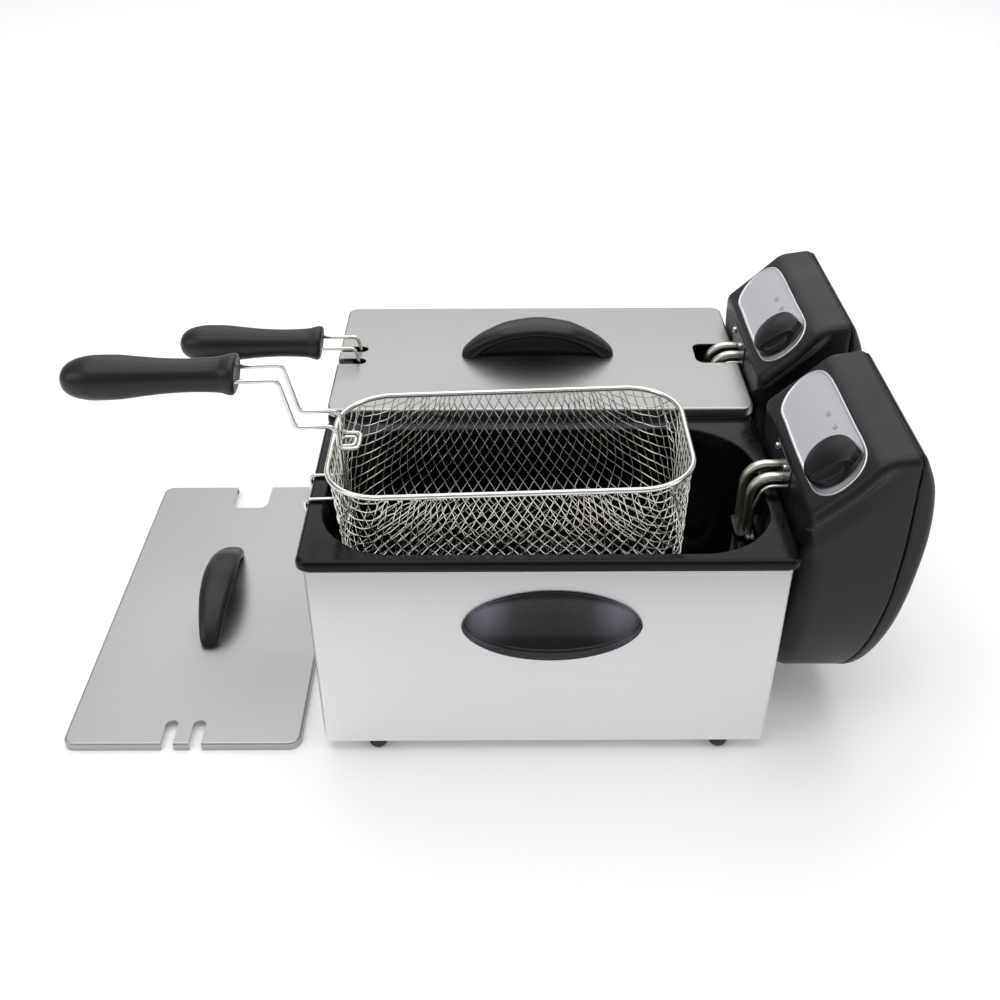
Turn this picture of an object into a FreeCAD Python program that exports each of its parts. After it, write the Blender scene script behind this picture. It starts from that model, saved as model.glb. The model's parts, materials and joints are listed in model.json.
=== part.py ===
import FreeCAD, Part
import os
import math

# Twin-tank deep fryer: one stainless cabinet, two enamelled oil tanks side by
# side, a lift-out control head with immersion element behind each tank end,
# two wire baskets and two lids.  Millimetres, +Z up, floor at Z = 0.
# +X is the control-head end, -Y is the front face.  The model is drawn with
# the underside of the cabinet at Z = 8 and lifted by SHIFT_Z at the end.

# ---------------------------------------------------------------- dimensions
SHIFT_X = 47.65          # puts the frame origin under the middle of the whole set
SHIFT_Z = 2.0            # lifts the set so that the feet stand on Z = 0
PITCH = 161.3            # front tank to rear tank
UNDERSIDE = 8.0
FOOT_R = 6.2
BODY_X = 145.4           # half length of the cabinet
BODY_Y = 160.2           # half depth of the cabinet
BODY_TOP = 151.7
SHEET = 1.0
RIM_X = 150.0            # half length of a tank rim
RIM_W = 161.0            # width of one tank rim
RIM_TOP = 159.7
RIM_R = 7.5
YF = -80.8               # middle of the front rim
WALL_X = 139.0           # half length of the tank inside
WALL_Y0 = -153.0         # near inside wall of the front tank
WALL_Y1 = -15.0          # far inside wall of the front tank
WALL_R = 47.0
TANK_FLOOR = 30.0
TANK_T = 1.2
SLOPE = 43.3             # fascia slope, degrees
HEAD_X = 150.8           # inner face of a control head
HEAD_Y = -82.0           # middle of the front head
HEAD_HALF = 64.5
PART_X = 211.0           # parting plane between head shell and back cover
KNOB_R = 16.8
KNOB_Y = -125.0
KNOB_S = 19.5            # knob centre, measured up the slope
BASKET_L = 224.0
BASKET_W = 121.0
BASKET_D = 84.0
BASKET_R = 36.0
BASKET_T = 0.8
RIM_WIRE = 1.9
LID_L = 299.3
LID_W = 159.0
LID_R = 8.0
LID_H = 6.2
LID_T = 1.2
TUBE_R = 3.25
TUBE_Z = 168.7
FEEL_Y = -92.6           # thin feeler tube beside the risers

V = FreeCAD.Vector
out = {}


def put(name, shape):
    out[name] = shape


# ------------------------------------------------------------------- helpers
def rrect(x0, x1, y0, y1, r, z):
    """rounded rectangle wire on a level plane"""
    if r <= 0.01:
        return Part.makePolygon([V(x0, y0, z), V(x1, y0, z), V(x1, y1, z), V(x0, y1, z), V(x0, y0, z)])
    k = r * (1 - math.sqrt(0.5))
    e = [
        Part.makeLine(V(x0 + r, y0, z), V(x1 - r, y0, z)),
        Part.Arc(V(x1 - r, y0, z), V(x1 - k, y0 + k, z), V(x1, y0 + r, z)).toShape(),
        Part.makeLine(V(x1, y0 + r, z), V(x1, y1 - r, z)),
        Part.Arc(V(x1, y1 - r, z), V(x1 - k, y1 - k, z), V(x1 - r, y1, z)).toShape(),
        Part.makeLine(V(x1 - r, y1, z), V(x0 + r, y1, z)),
        Part.Arc(V(x0 + r, y1, z), V(x0 + k, y1 - k, z), V(x0, y1 - r, z)).toShape(),
        Part.makeLine(V(x0, y1 - r, z), V(x0, y0 + r, z)),
        Part.Arc(V(x0, y0 + r, z), V(x0 + k, y0 + k, z), V(x0 + r, y0, z)).toShape(),
    ]
    return Part.Wire(e)


def block(x0, x1, y0, y1, z0, z1, r=0.0):
    if r <= 0.01:
        return Part.makeBox(x1 - x0, y1 - y0, z1 - z0, V(x0, y0, z0))
    return Part.Face(rrect(x0, x1, y0, y1, r, z0)).extrude(V(0, 0, z1 - z0))


def tub(x0, x1, y0, y1, r, ztop, zbot, taper, rb):
    """solid block with rounded plan corners, tapered down, bottom edge rounded"""
    a = rrect(x0, x1, y0, y1, r, ztop)
    b = rrect(x0 + taper, x1 - taper, y0 + taper, y1 - taper, r - taper, zbot)
    s = Part.makeLoft([a, b], True, True)
    if rb > 0:
        es = [e for e in s.Edges if abs(e.BoundBox.ZMax - zbot) < 0.01]
        s = s.makeFillet(rb, es)
    return s


def union(items):
    s = items[0]
    for t in items[1:]:
        s = s.fuse(t)
    return s


def round_path(pts, bend, closed=False):
    """polyline with every inner corner turned into an arc"""
    pts = [V(*p) for p in pts]
    n = len(pts)
    rad = bend if isinstance(bend, (list, tuple)) else [bend] * n
    seg = []
    first = last = None
    rng = range(n) if closed else range(1, n - 1)
    arcs = {}
    for i in rng:
        p, a, b = pts[i], pts[i - 1], pts[(i + 1) % n]
        u = (a - p).normalize()
        w = (b - p).normalize()
        ang = math.acos(max(-1, min(1, u.dot(w))))
        if abs(ang - math.pi) < 1e-4:
            arcs[i] = (p, p, p)
            continue
        r = rad[i]
        d = r / math.tan(ang / 2)
        t1 = p + u * d
        t2 = p + w * d
        mid = (u + w).normalize()
        m = p + mid * (r / math.sin(ang / 2) - r)
        arcs[i] = (t1, m, t2)
    order = list(range(n))
    edges = []
    cur = None
    if not closed:
        cur = pts[0]
        for i in order[1:]:
            if i in arcs:
                t1, m, t2 = arcs[i]
                if (t1 - cur).Length > 1e-4:
                    edges.append(Part.makeLine(cur, t1))
                if (t1 - t2).Length > 1e-4:
                    edges.append(Part.Arc(t1, m, t2).toShape())
                cur = t2
            else:
                edges.append(Part.makeLine(cur, pts[i]))
                cur = pts[i]
    else:
        for i in order:
            t1, m, t2 = arcs[i]
            nx = arcs[(i + 1) % n][0]
            edges.append(Part.Arc(t1, m, t2).toShape())
            if (nx - t2).Length > 1e-4:
                edges.append(Part.makeLine(t2, nx))
    return edges


def rod(pts, r, bend=5.0, closed=False):
    """round wire or tube of radius r along a path"""
    edges = round_path(pts, bend, closed)
    path = Part.Wire(edges)
    p0 = edges[0].valueAt(edges[0].FirstParameter)
    p1 = edges[0].valueAt(edges[0].LastParameter)
    tan = edges[0].tangentAt(edges[0].FirstParameter)
    prof = Part.Wire([Part.makeCircle(r, p0, tan)])
    s = path.makePipeShell([prof], True, True)
    if s.ShapeType != "Solid":
        s = Part.Solid(s)
    if s.Volume < 0:
        s.reverse()
    return s


def prism_xz(pts, y0, y1):
    w = Part.makePolygon([V(x, y0, z) for x, z in pts] + [V(pts[0][0], y0, pts[0][1])])
    return Part.Face(w).extrude(V(0, y1 - y0, 0))


def clean(s):
    try:
        t = s.removeSplitter()
        if t.isValid():
            return t
    except Exception:
        pass
    return s


def cyl(p, axis, r, h):
    return Part.makeCylinder(r, h, V(*p), V(*axis))


# ------------------------------------------------------------------- cabinet
outer = block(-BODY_X, BODY_X, -BODY_Y, BODY_Y, UNDERSIDE, BODY_TOP, 4.0)
inner = block(-BODY_X + SHEET, BODY_X - SHEET, -BODY_Y + SHEET, BODY_Y - SHEET, UNDERSIDE - 1, BODY_TOP + 1, 3.0)
shell = outer.cut(inner)
# in-turned flange along the bottom edge, which carries the base plate
fl = block(-BODY_X + 0.5, BODY_X - 0.5, -BODY_Y + 0.5, BODY_Y - 0.5, UNDERSIDE, UNDERSIDE + SHEET, 3.5)
fl = fl.cut(block(-BODY_X + 14, BODY_X - 14, -BODY_Y + 14, BODY_Y - 14, UNDERSIDE - 1, UNDERSIDE + 3, 3.0))
shell = shell.fuse(fl)

# oval cup openings in the front and rear faces (lens outline)
GRIP_X = 2.9
GRIP_Z = 109.0
GRIP_L = 55.5
GRIP_H = 27.7
CUP_PROUD = 2.6


def lens(cx, cz, a, b, y, grow=0.0):
    """closed outline: ellipse with slightly pointed ends"""
    a += grow
    b += grow
    pts = []
    n = 28
    for i in range(n):
        t = 2 * math.pi * i / n
        c, s = math.cos(t), math.sin(t)
        x = a * math.copysign(abs(c) ** 1.0, c)
        z = b * math.copysign(abs(s) ** 1.12, s)
        pts.append(V(cx + x, y, cz + z))
    c = Part.BSplineCurve()
    c.interpolate(pts, True)
    return Part.Wire([c.toShape()])


def lens_solid(a_grow, y0, y1):
    return Part.Face(lens(GRIP_X, GRIP_Z, GRIP_L, GRIP_H, y0, a_grow)).extrude(V(0, y1 - y0, 0))


front_hole = lens_solid(-2.0, -BODY_Y - 3, -BODY_Y + 4)
rear_hole = lens_solid(-2.0, BODY_Y - 4, BODY_Y + 3)
shell = shell.cut(front_hole).cut(rear_hole)
put("housing", clean(shell))

# base plate screwed inside the bottom flange
bp = block(-BODY_X + 2, BODY_X - 2, -BODY_Y + 2, BODY_Y - 2, UNDERSIDE + SHEET, UNDERSIDE + 2 * SHEET, 2.0)
foot_at = [(x, y) for x in (-110.7, 116.7) for y in (-152.8, 152.8)]
holes = [cyl((x, y, UNDERSIDE - 5), (0, 0, 1), 2.1, 20) for x, y in foot_at]
hs = union(holes)
put("base_plate", bp.cut(hs))
put("housing", out["housing"].cut(hs))

# rubber feet: domes with a small flat, pulled up by screws
feet = []
screws = []
for x, y in foot_at:
    z0 = -SHIFT_Z
    w = Part.Wire([Part.makeLine(V(0, 0, z0), V(3.6, 0, z0)),
                   Part.Arc(V(3.6, 0, z0), V(5.5, 0, z0 + 1.9), V(FOOT_R, 0, z0 + 4.8)).toShape(),
                   Part.makeLine(V(FOOT_R, 0, z0 + 4.8), V(FOOT_R, 0, UNDERSIDE)),
                   Part.makeLine(V(FOOT_R, 0, UNDERSIDE), V(0, 0, UNDERSIDE)),
                   Part.makeLine(V(0, 0, UNDERSIDE), V(0, 0, z0))])
    f = Part.Face(w).revolve(V(0, 0, 0), V(0, 0, 1), 360)
    f = Part.Solid(Part.Shell(f.Faces)) if f.ShapeType != "Solid" else f
    f.translate(V(x, y, 0))
    f = f.cut(cyl((x, y, 3.0), (0, 0, 1), 1.9, 10))
    feet.append(f)
    sc = cyl((x, y, 3.2), (0, 0, 1), 1.85, 7.0).fuse(cyl((x, y, UNDERSIDE + 2 * SHEET), (0, 0, 1), 3.6, 2.2))
    screws.append(sc)
put("feet", Part.makeCompound(feet))
put("foot_screws", Part.makeCompound(screws))

# cross bar that carries the two rims between the tanks
bar = block(-BODY_X + SHEET + 0.0, BODY_X - SHEET, -6.5, 0.5, BODY_TOP - 9, BODY_TOP - 0.2)
bar = bar.cut(block(-BODY_X, BODY_X, -5.5, -0.5, BODY_TOP - 10, BODY_TOP - 1.2))
put("centre_bar", bar)


# cup grips: a lens-shaped black bowl let into the sheet, thicker lower lip
def cup(sign):
    y_out = -BODY_Y - CUP_PROUD
    bez = Part.Face(lens(GRIP_X, GRIP_Z, GRIP_L, GRIP_H, y_out)).extrude(V(0, CUP_PROUD, 0))
    try:
        es = [e for e in bez.Edges if abs(e.BoundBox.YMin - y_out) < 0.01 and abs(e.BoundBox.YMax - y_out) < 0.01]
        bez = bez.makeFillet(1.6, es)
    except Exception:
        pass
    w0 = lens(GRIP_X, GRIP_Z, GRIP_L, GRIP_H, -BODY_Y, -2.4)
    w1 = lens(GRIP_X, GRIP_Z + 0.6, GRIP_L, GRIP_H, -BODY_Y + 4.8, -7.0)
    bowl = Part.makeLoft([w0, w1], True, True)
    i0 = lens(GRIP_X, GRIP_Z + 1.4, GRIP_L, GRIP_H, y_out - 0.3, -5.2)
    i1 = lens(GRIP_X, GRIP_Z + 1.6, GRIP_L, GRIP_H, -BODY_Y + 3.6, -9.4)
    hollow = Part.makeLoft([i0, i1], True, True)
    s = bez.fuse(bowl).cut(hollow)
    s = clean(s)
    if sign > 0:
        m = FreeCAD.Matrix()
        m.rotateZ(math.pi)
        s = s.transformGeometry(m) if False else s.mirror(V(0, 0, 0), V(0, 1, 0))
    return s


put("front_grip_cup", cup(-1))
put("rear_grip_cup", cup(1))

# guide rails on the end wall, two behind each head
rails = []
for k in (0, 1):
    for dy in (-30.0, 30.0):
        y = HEAD_Y + k * PITCH + dy
        rails.append(block(BODY_X, 152.8, y - 3, y + 3, 64, 126))
put("head_rails", Part.makeCompound(rails))


# ---------------------------------------------------------------------- tank
def tank():
    x0, x1 = -RIM_X, RIM_X
    y0, y1 = YF - RIM_W / 2, YF + RIM_W / 2
    rim = block(x0, x1, y0, y1, BODY_TOP + 0.3, RIM_TOP, RIM_R)
    es = [e for e in rim.Edges if e.BoundBox.ZLength < 0.01 and e.BoundBox.ZMin > RIM_TOP - 0.01]
    rim = rim.makeFillet(3.4, es)
    es = [e for e in rim.Edges if e.BoundBox.ZLength < 0.01 and e.BoundBox.ZMax < BODY_TOP + 0.31]
    rim = rim.makeFillet(2.2, es)
    # hollow under the rolled rim
    under = block(x0 + 5.2, x1 - 5.2, y0 + 4.0, y1 - 4.0, BODY_TOP - 1, RIM_TOP - 1.5, RIM_R - 3)
    rim = rim.cut(under)
    body = tub(-WALL_X - TANK_T, WALL_X + TANK_T, WALL_Y0 - TANK_T, WALL_Y1 + TANK_T, WALL_R + TANK_T,
               RIM_TOP - 1.0, TANK_FLOOR - TANK_T, 3.0, 15.0 + TANK_T)
    s = rim.fuse(body)
    hollow = tub(-WALL_X, WALL_X, WALL_Y0, WALL_Y1, WALL_R, RIM_TOP + 0.5, TANK_FLOOR, 3.05, 15.0)
    s = s.cut(hollow)
    # rounded lip where the flange turns down into the tank
    try:
        es = [e for e in s.Edges if abs(e.BoundBox.ZMin - RIM_TOP) < 0.01 and e.BoundBox.ZLength < 0.01
              and e.BoundBox.XMin > -WALL_X - 1 and e.BoundBox.XMax < WALL_X + 1]
        s2 = s.makeFillet(1.4, es)
        if s2.isValid():
            s = s2
    except Exception:
        pass
    return clean(s)


tk = tank()
put("front_tank", tk)
t2 = tk.copy()
t2.translate(V(0, PITCH + 0.3, 0))
put("rear_tank", t2)

# -------------------------------------------------------------- control head
sl = math.radians(SLOPE)
TX, TZ = math.cos(sl), math.sin(sl)          # up the slope
NX, NZ = -math.sin(sl), math.cos(sl)         # out of the slope
S0 = (154.6, 189.5)                          # lower edge of the fascia on the slope


def on_slope(s, h):
    return (S0[0] + TX * s + NX * h, S0[1] + TZ * s + NZ * h)


def head_profile(d):
    """X-Z outline of the head, shrunk by d"""
    inner = [(HEAD_X + d, 10 + d), (HEAD_X + d, 186.0 - 0.45 * d),
             (187.6 + 0.35 * d, 220.6 - d), (PART_X, 224.0 - d)]
    back = [(215.6, 217.5), (221.8, 203.4), (225.2, 183), (226.4, 160), (223.9, 129), (220.3, 94), (215.6, 64), (211.0, 34), (206.5, 10)]
    return inner, back


def head_body(d):
    inner, back = head_profile(d)
    b = []
    for i, (x, z) in enumerate(back):
        b.append(V(x - d, 0, z - (0.5 * d if i == 0 else 0)))
    sp = Part.BSplineCurve()
    sp.interpolate([V(PART_X, 0, 224.0 - d)] + b)
    edges = []
    pts = [V(x, 0, z) for x, z in inner]
    for i in range(len(pts) - 1):
        edges.append(Part.makeLine(pts[i], pts[i + 1]))
    edges.append(sp.toShape())
    edges.append(Part.makeLine(b[-1], pts[0]))
    f = Part.Face(Part.Wire(edges))
    f.translate(V(0, HEAD_Y - 80, 0))
    a = f.extrude(V(0, 160, 0))
    # Y-Z outline: straight sides, half-ellipse below
    hw = HEAD_HALF - d
    zc, b2 = 136.0, 118.0 - d
    pt = []
    n = 16
    for i in range(n + 1):
        t = math.pi * i / n
        pt.append(V(140, HEAD_Y - hw * math.cos(t), zc - b2 * math.sin(t)))
    c = Part.BSplineCurve()
    c.interpolate(pt)
    top = 240.0
    e2 = [c.toShape(),
          Part.makeLine(pt[-1], V(140, HEAD_Y + hw, top)),
          Part.makeLine(V(140, HEAD_Y + hw, top), V(140, HEAD_Y - hw, top)),
          Part.makeLine(V(140, HEAD_Y - hw, top), pt[0])]
    g = Part.Face(Part.Wire(e2)).extrude(V(100, 0, 0))
    return a.common(g)


def soft(shape, rs, pick):
    for r in rs:
        try:
            es = [e for e in shape.Edges if pick(e)]
            s = shape.makeFillet(r, es)
            if s.isValid() and s.Volume > 0:
                return s
        except Exception:
            continue
    return shape


def head():
    parts = {}
    solid = head_body(0.0)

    def side_edge(e):
        bb = e.BoundBox
        on_side = abs(bb.YMin - bb.YMax) < 0.01 and (abs(bb.YMin - (HEAD_Y - HEAD_HALF)) < 0.05
                                                     or abs(bb.YMin - (HEAD_Y + HEAD_HALF)) < 0.05)
        return on_side and bb.XMax > HEAD_X + 0.5 and bb.ZMin > 150

    solid = soft(solid, (9.0, 7.5, 6.0, 4.0, 2.5), side_edge)
    hollow = head_body(2.6)
    # thicker inner wall that carries the guide grooves
    hollow = hollow.cut(block(140, HEAD_X + 5.4, -200, 40, 0, 134))
    sh = solid.cut(hollow)
    # guide grooves, open at the bottom
    for dy in (-30.0, 30.0):
        sh = sh.cut(block(HEAD_X - 1, 153.4, HEAD_Y + dy - 3.4, HEAD_Y + dy + 3.4, 5, 127.0))
    big = block(100, PART_X, -200, 60, 0, 260)
    front = sh.common(big)
    back = sh.cut(big)
    # seating lip that rests on the tank rim below the element tubes
    front = front.fuse(block(143.0, HEAD_X + 1.0, -91.5, -69.5, RIM_TOP + 0.35, RIM_TOP + 2.6))
    # passages for the element tubes and the feeler tube
    for y, r in ((-72.8, TUBE_R), (-87.1, TUBE_R)):
        front = front.cut(cyl((HEAD_X - 3, y, TUBE_Z), (1, 0, 0), r + 0.05, 8))
    front = front.cut(cyl((HEAD_X - 3, FEEL_Y, TUBE_Z - 3.4), (1, 0, 0), 1.2, 8))
    # fascia pocket and shaft hole
    px, pz = on_slope(0, 0)
    fas = fascia(0.0, 0.9, 0.12)
    front = front.cut(fas)
    kx, kz = on_slope(KNOB_S, -9)
    front = front.cut(cyl((kx, KNOB_Y, kz), (NX, 0, NZ), 3.4, 12))
    # two lamp holes
    for s, y in lamps:
        lx, lz = on_slope(s, -6)
        front = front.cut(cyl((lx, y, lz), (NX, 0, NZ), 2.0, 12))
    # screw bosses for the back cover
    bosses = []
    for y, z in boss_at:
        b = cyl((182, y, z), (1, 0, 0), 4.2, PART_X - 182 - 0.05)
        b = b.cut(cyl((190, y, z), (1, 0, 0), 1.3, 40))
        bosses.append(b)
    front = union([front] + [b.common(head_body(0.5)) for b in bosses])
    # web that ties the bosses to the side walls
    webs = []
    for y, z in boss_at:
        ys = (HEAD_Y - HEAD_HALF + 1.0, y) if y < HEAD_Y else (y, HEAD_Y + HEAD_HALF - 1.0)
        w = block(184, PART_X - 2, ys[0], ys[1], z - 1, z + 1)
        w = w.cut(cyl((180, y, z), (1, 0, 0), 3.0, 60))
        webs.append(w)
    front = union([front] + webs)
    parts["shell"] = clean(front)
    # cover screws enter from outside through the back
    sc = []
    for y, z in boss_at:
        back = back.cut(cyl((200, y, z), (1, 0, 0), 1.9, 40))
        # counterbore pocket from outside
        back = back.fuse(cyl((PART_X, y, z), (1, 0, 0), 5.2, 20.0).common(head_body(0.6)))
        back = back.cut(cyl((PART_X + 2.0, y, z), (1, 0, 0), 3.4, 40)).cut(cyl((PART_X - 1, y, z), (1, 0, 0), 1.9, 10))
        s = cyl((PART_X - 12, y, z), (1, 0, 0), 1.25, 14.0).fuse(cyl((PART_X + 2.0, y, z), (1, 0, 0), 3.1, 2.0))
        sc.append(s)
    # gland at the back of the cover
    back = back.cut(cyl((190, HEAD_Y, 60), (1, 0, 0), 5.05, 40))
    parts["back_cover"] = clean(back)
    parts["cover_screws"] = Part.makeCompound(sc)
    gl = cyl((205, HEAD_Y, 60), (1, 0, 0), 5.0, 16.0).fuse(cyl((216.2, HEAD_Y, 60), (1, 0, 0), 7.5, 3.6))
    gl = gl.fuse(cyl((205, HEAD_Y, 60), (1, 0, 0), 6.6, 2.4))
    gl = gl.cut(cyl((200, HEAD_Y, 60), (1, 0, 0), 3.3, 30))
    parts["cord_gland"] = gl
    parts["fascia"] = fascia_plate()
    # lamps
    ls = []
    for s, y in lamps:
        lx, lz = on_slope(s, -5.0)
        ls.append(cyl((lx, y, lz), (NX, 0, NZ), 1.9, 5.9))
    parts["lamps"] = Part.makeCompound(ls)
    # thermostat behind the knob
    p = on_slope(KNOB_S, -24.0)
    box = block(-14, 14, -14, 14, 0, 15.0, 2.0)
    box = box.cut(cyl((0, 0, 7.0), (0, 0, 1), 3.07, 20))
    box.rotate(V(0, 0, 0), V(0, 1, 0), -SLOPE)
    box.translate(V(p[0], KNOB_Y, p[1]))
    box = box.cut(parts["shell"])
    parts["thermostat"] = max(box.Solids, key=lambda q: q.Volume)
    # chrome plate round the tubes, two screws
    pl = block(HEAD_X - 0.7, HEAD_X, -103.0, -62.0, RIM_TOP + 3.2, 183.5)
    ed = [e for e in pl.Edges if e.BoundBox.XLength > 0.6 and e.BoundBox.YLength < 0.01 and e.BoundBox.ZLength < 0.01]
    pl = pl.makeFillet(3.0, ed)
    for y, r in ((-72.8, TUBE_R), (-87.1, TUBE_R)):
        pl = pl.cut(cyl((HEAD_X - 3, y, TUBE_Z), (1, 0, 0), r + 0.05, 8))
    pl = pl.cut(cyl((HEAD_X - 3, FEEL_Y, TUBE_Z - 3.4), (1, 0, 0), 1.2, 8))
    parts["element_plate"] = pl
    ps = []
    for y, z in ((-67.3, 179.5), (-91.6, 178.5)):
        h = cyl((HEAD_X - 2.3, y, z), (1, 0, 0), 2.3, 1.6)
        ps.append(h)
    parts["plate_screws"] = Part.makeCompound(ps)
    # immersion element: two risers and a four-leg coil lying over the tank floor
    xr = 131.0
    zb = 38.6
    rs = 9.0
    parts["element_risers"] = Part.makeCompound([
        rod([(176, -72.8, TUBE_Z), (xr - 0.8, -72.8, TUBE_Z), (xr - 0.8, -72.8, zb + 14)], TUBE_R, 13.0),
        rod([(176, -87.1, TUBE_Z), (xr + 0.6, -87.1, TUBE_Z), (xr + 0.6, -87.1, zb + 14)], TUBE_R, 13.0)])
    legs = [-118.0, -94.5, -73.0, -49.5]
    xl = -100.0
    coil = rod([(xr - 0.8, -72.8, zb + 14), (xr - 0.8, -72.8, zb), (104, -72.8, zb),
                (104, legs[3], zb), (xl, legs[3], zb), (xl, legs[2] - 0.0, zb),
                (78, legs[2], zb), (78, legs[1], zb),
                (xl, legs[1], zb), (xl, legs[0], zb), (104, legs[0], zb), (104, -87.1, zb),
                (xr + 0.6, -87.1, zb), (xr + 0.6, -87.1, zb + 14)], TUBE_R,
               [0, 7.0, 8.0, 9.0, 9.0, 9.0, 9.0, 9.0, 9.0, 9.0, 9.0, 7.0, 7.0, 0])
    parts["element_coil"] = coil
    # feeler: thin tube beside the risers, ending in a sensing bulb on a clip
    cap = rod([(176, FEEL_Y, TUBE_Z - 3.4), (138.2, FEEL_Y, TUBE_Z - 3.4), (133.6, FEEL_Y, 150), (133.6, FEEL_Y, 126)], 1.1, 8.0)
    bulb = cyl((133.6, FEEL_Y, 62), (0, 0, 1), 2.4, 64)
    parts["feeler"] = cap.fuse(bulb)
    clip = block(125.0, 137.0, -91.9, -68.3, 121.0, 125.6, 3.0)
    for x, y, r in ((xr - 0.8, -72.8, TUBE_R), (xr + 0.6, -87.1, TUBE_R)):
        clip = clip.cut(cyl((x, y, 110), (0, 0, 1), r + 0.05, 30))
    arm = block(130.6, 136.6, -96.2, -89.0, 121.0, 125.6, 1.0).cut(cyl((133.6, FEEL_Y, 110), (0, 0, 1), 2.45, 30))
    clip = clip.fuse(arm)
    for x, y, r in ((xr - 0.8, -72.8, TUBE_R), (xr + 0.6, -87.1, TUBE_R)):
        clip = clip.cut(cyl((x, y, 110), (0, 0, 1), r + 0.05, 30))
    clip = clip.cut(cyl((133.6, FEEL_Y, 110), (0, 0, 1), 2.45, 30))
    parts["tube_clip"] = clean(clip)
    # safety switch in the lower part of the shell
    parts["safety_switch"] = block(157.0, 167.0, HEAD_Y - 14, HEAD_Y + 14, 96, 112, 1.0)
    return parts


boss_at = [(-134.0, 192.0), (-30.0, 192.0), (-132.0, 112.0), (-32.0, 112.0)]
lamps = [(28.6, -77.4), (29.2, -93.2)]


def fascia_wire(h, grow=0.0):
    """plate outline on the slope: straight long sides, arched ends"""
    s0, s1 = -grow, 41.0 + grow
    ya, yb = -135.5 - 0.3 * grow, -36.0 + 0.3 * grow
    c = 2.2
    a0, a1 = -143.0 - grow, -28.5 + grow
    def P(s, y):
        x, z = on_slope(s, h)
        return V(x, y, z)
    def arch(y_side, y_tip, flip):
        pts = []
        n = 8
        seq = range(n + 1)
        for i in seq:
            u = -1 + 2.0 * i / n
            if flip:
                u = -u
            s = (s0 + s1) / 2 + u * (s1 - s0) / 2
            # fuller than a circle near the corners
            k = (1 - abs(u) ** 2.6)
            pts.append(P(s, y_side + (y_tip - y_side) * k))
        b = Part.BSplineCurve()
        b.interpolate(pts)
        return b.toShape(), pts[0], pts[-1]
    e1, p1, p2 = arch(ya, a0, False)       # near end, from s0 to s1
    e3, p3, p4 = arch(yb, a1, True)        # far end, from s1 to s0
    return Part.Wire([e1, Part.makeLine(p2, p3), e3, Part.makeLine(p4, p1)])


def corner(s, r):
    es = []
    for e in s.Edges:
        d = e.valueAt(e.LastParameter) - e.valueAt(e.FirstParameter)
        if d.Length > 0.5 and abs(abs(d.normalize().dot(V(NX, 0, NZ))) - 1) < 1e-3:
            es.append(e)
    return s.makeFillet(r, es)


def fascia(h0, depth, grow):
    w = fascia_wire(-depth, grow)
    return corner(Part.Face(w).extrude(V(NX * (depth + 2), 0, NZ * (depth + 2))), 6.0 + grow)


def fascia_plate():
    f = corner(Part.Face(fascia_wire(-0.9)).extrude(V(NX * 1.5, 0, NZ * 1.5)), 6.0)
    kx, kz = on_slope(KNOB_S, -5)
    f = f.cut(cyl((kx, KNOB_Y, kz), (NX, 0, NZ), 3.4, 12))
    for s, y in lamps:
        lx, lz = on_slope(s, -6)
        f = f.cut(cyl((lx, y, lz), (NX, 0, NZ), 2.0, 12))
    return f


def knob():
    """round knob with a pointed tip; the near side is cut back to a low rim
    so that the straight upper edge makes a grip"""
    z0, zr, zt = 1.1, 3.9, 10.6
    sk = Part.makeCone(KNOB_R + 0.6, KNOB_R, zt - z0, V(0, 0, z0))
    top = [e for e in sk.Edges if abs(e.BoundBox.ZMin - zt) < 0.01]
    sk = sk.makeFillet(1.6, top)
    tip = Part.Face(Part.makePolygon([V(14.0, 10.2, z0), V(21.6, -5.2, z0), V(9.0, -15.0, z0), V(0, 0, z0), V(14.0, 10.2, z0)])).extrude(V(0, 0, 8.0))
    k = sk.fuse(tip)
    # low rim on the near side, with a leaning face up to the grip edge
    q = [(-9.4, zt + 1), (-9.2, zt), (-12.2, zr), (-40, zr), (-40, zt + 1)]
    w = Part.makePolygon([V(-40, y, z) for y, z in q] + [V(-40, q[0][0], q[0][1])])
    k = k.cut(Part.Face(w).extrude(V(80, 0, 0)))
    k = clean(k)
    k = k.cut(cyl((0, 0, 0), (0, 0, 1), 3.0, 8.0))
    shaft = cyl((0, 0, -16.5), (0, 0, 1), 3.0, 24.5)
    for s in (k, shaft):
        s.rotate(V(0, 0, 0), V(0, 0, 1), KNOB_TURN)
        s.rotate(V(0, 0, 0), V(0, 1, 0), -SLOPE)
        x, z = on_slope(KNOB_S, 0)
        s.translate(V(x, KNOB_Y, z))
    return k, shaft


KNOB_TURN = -13.0
hp = head()
kn, shf = knob()
for name, dy in (("front", 0.0), ("rear", PITCH)):
    for k, s in hp.items():
        c = s.copy()
        c.translate(V(0, dy, 0))
        put(name + "_" + k, c)
    for k, s in (("knob", kn), ("knob_shaft", shf)):
        c = s.copy()
        c.translate(V(0, dy, 0))
        put(name + "_" + k, c)


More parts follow.
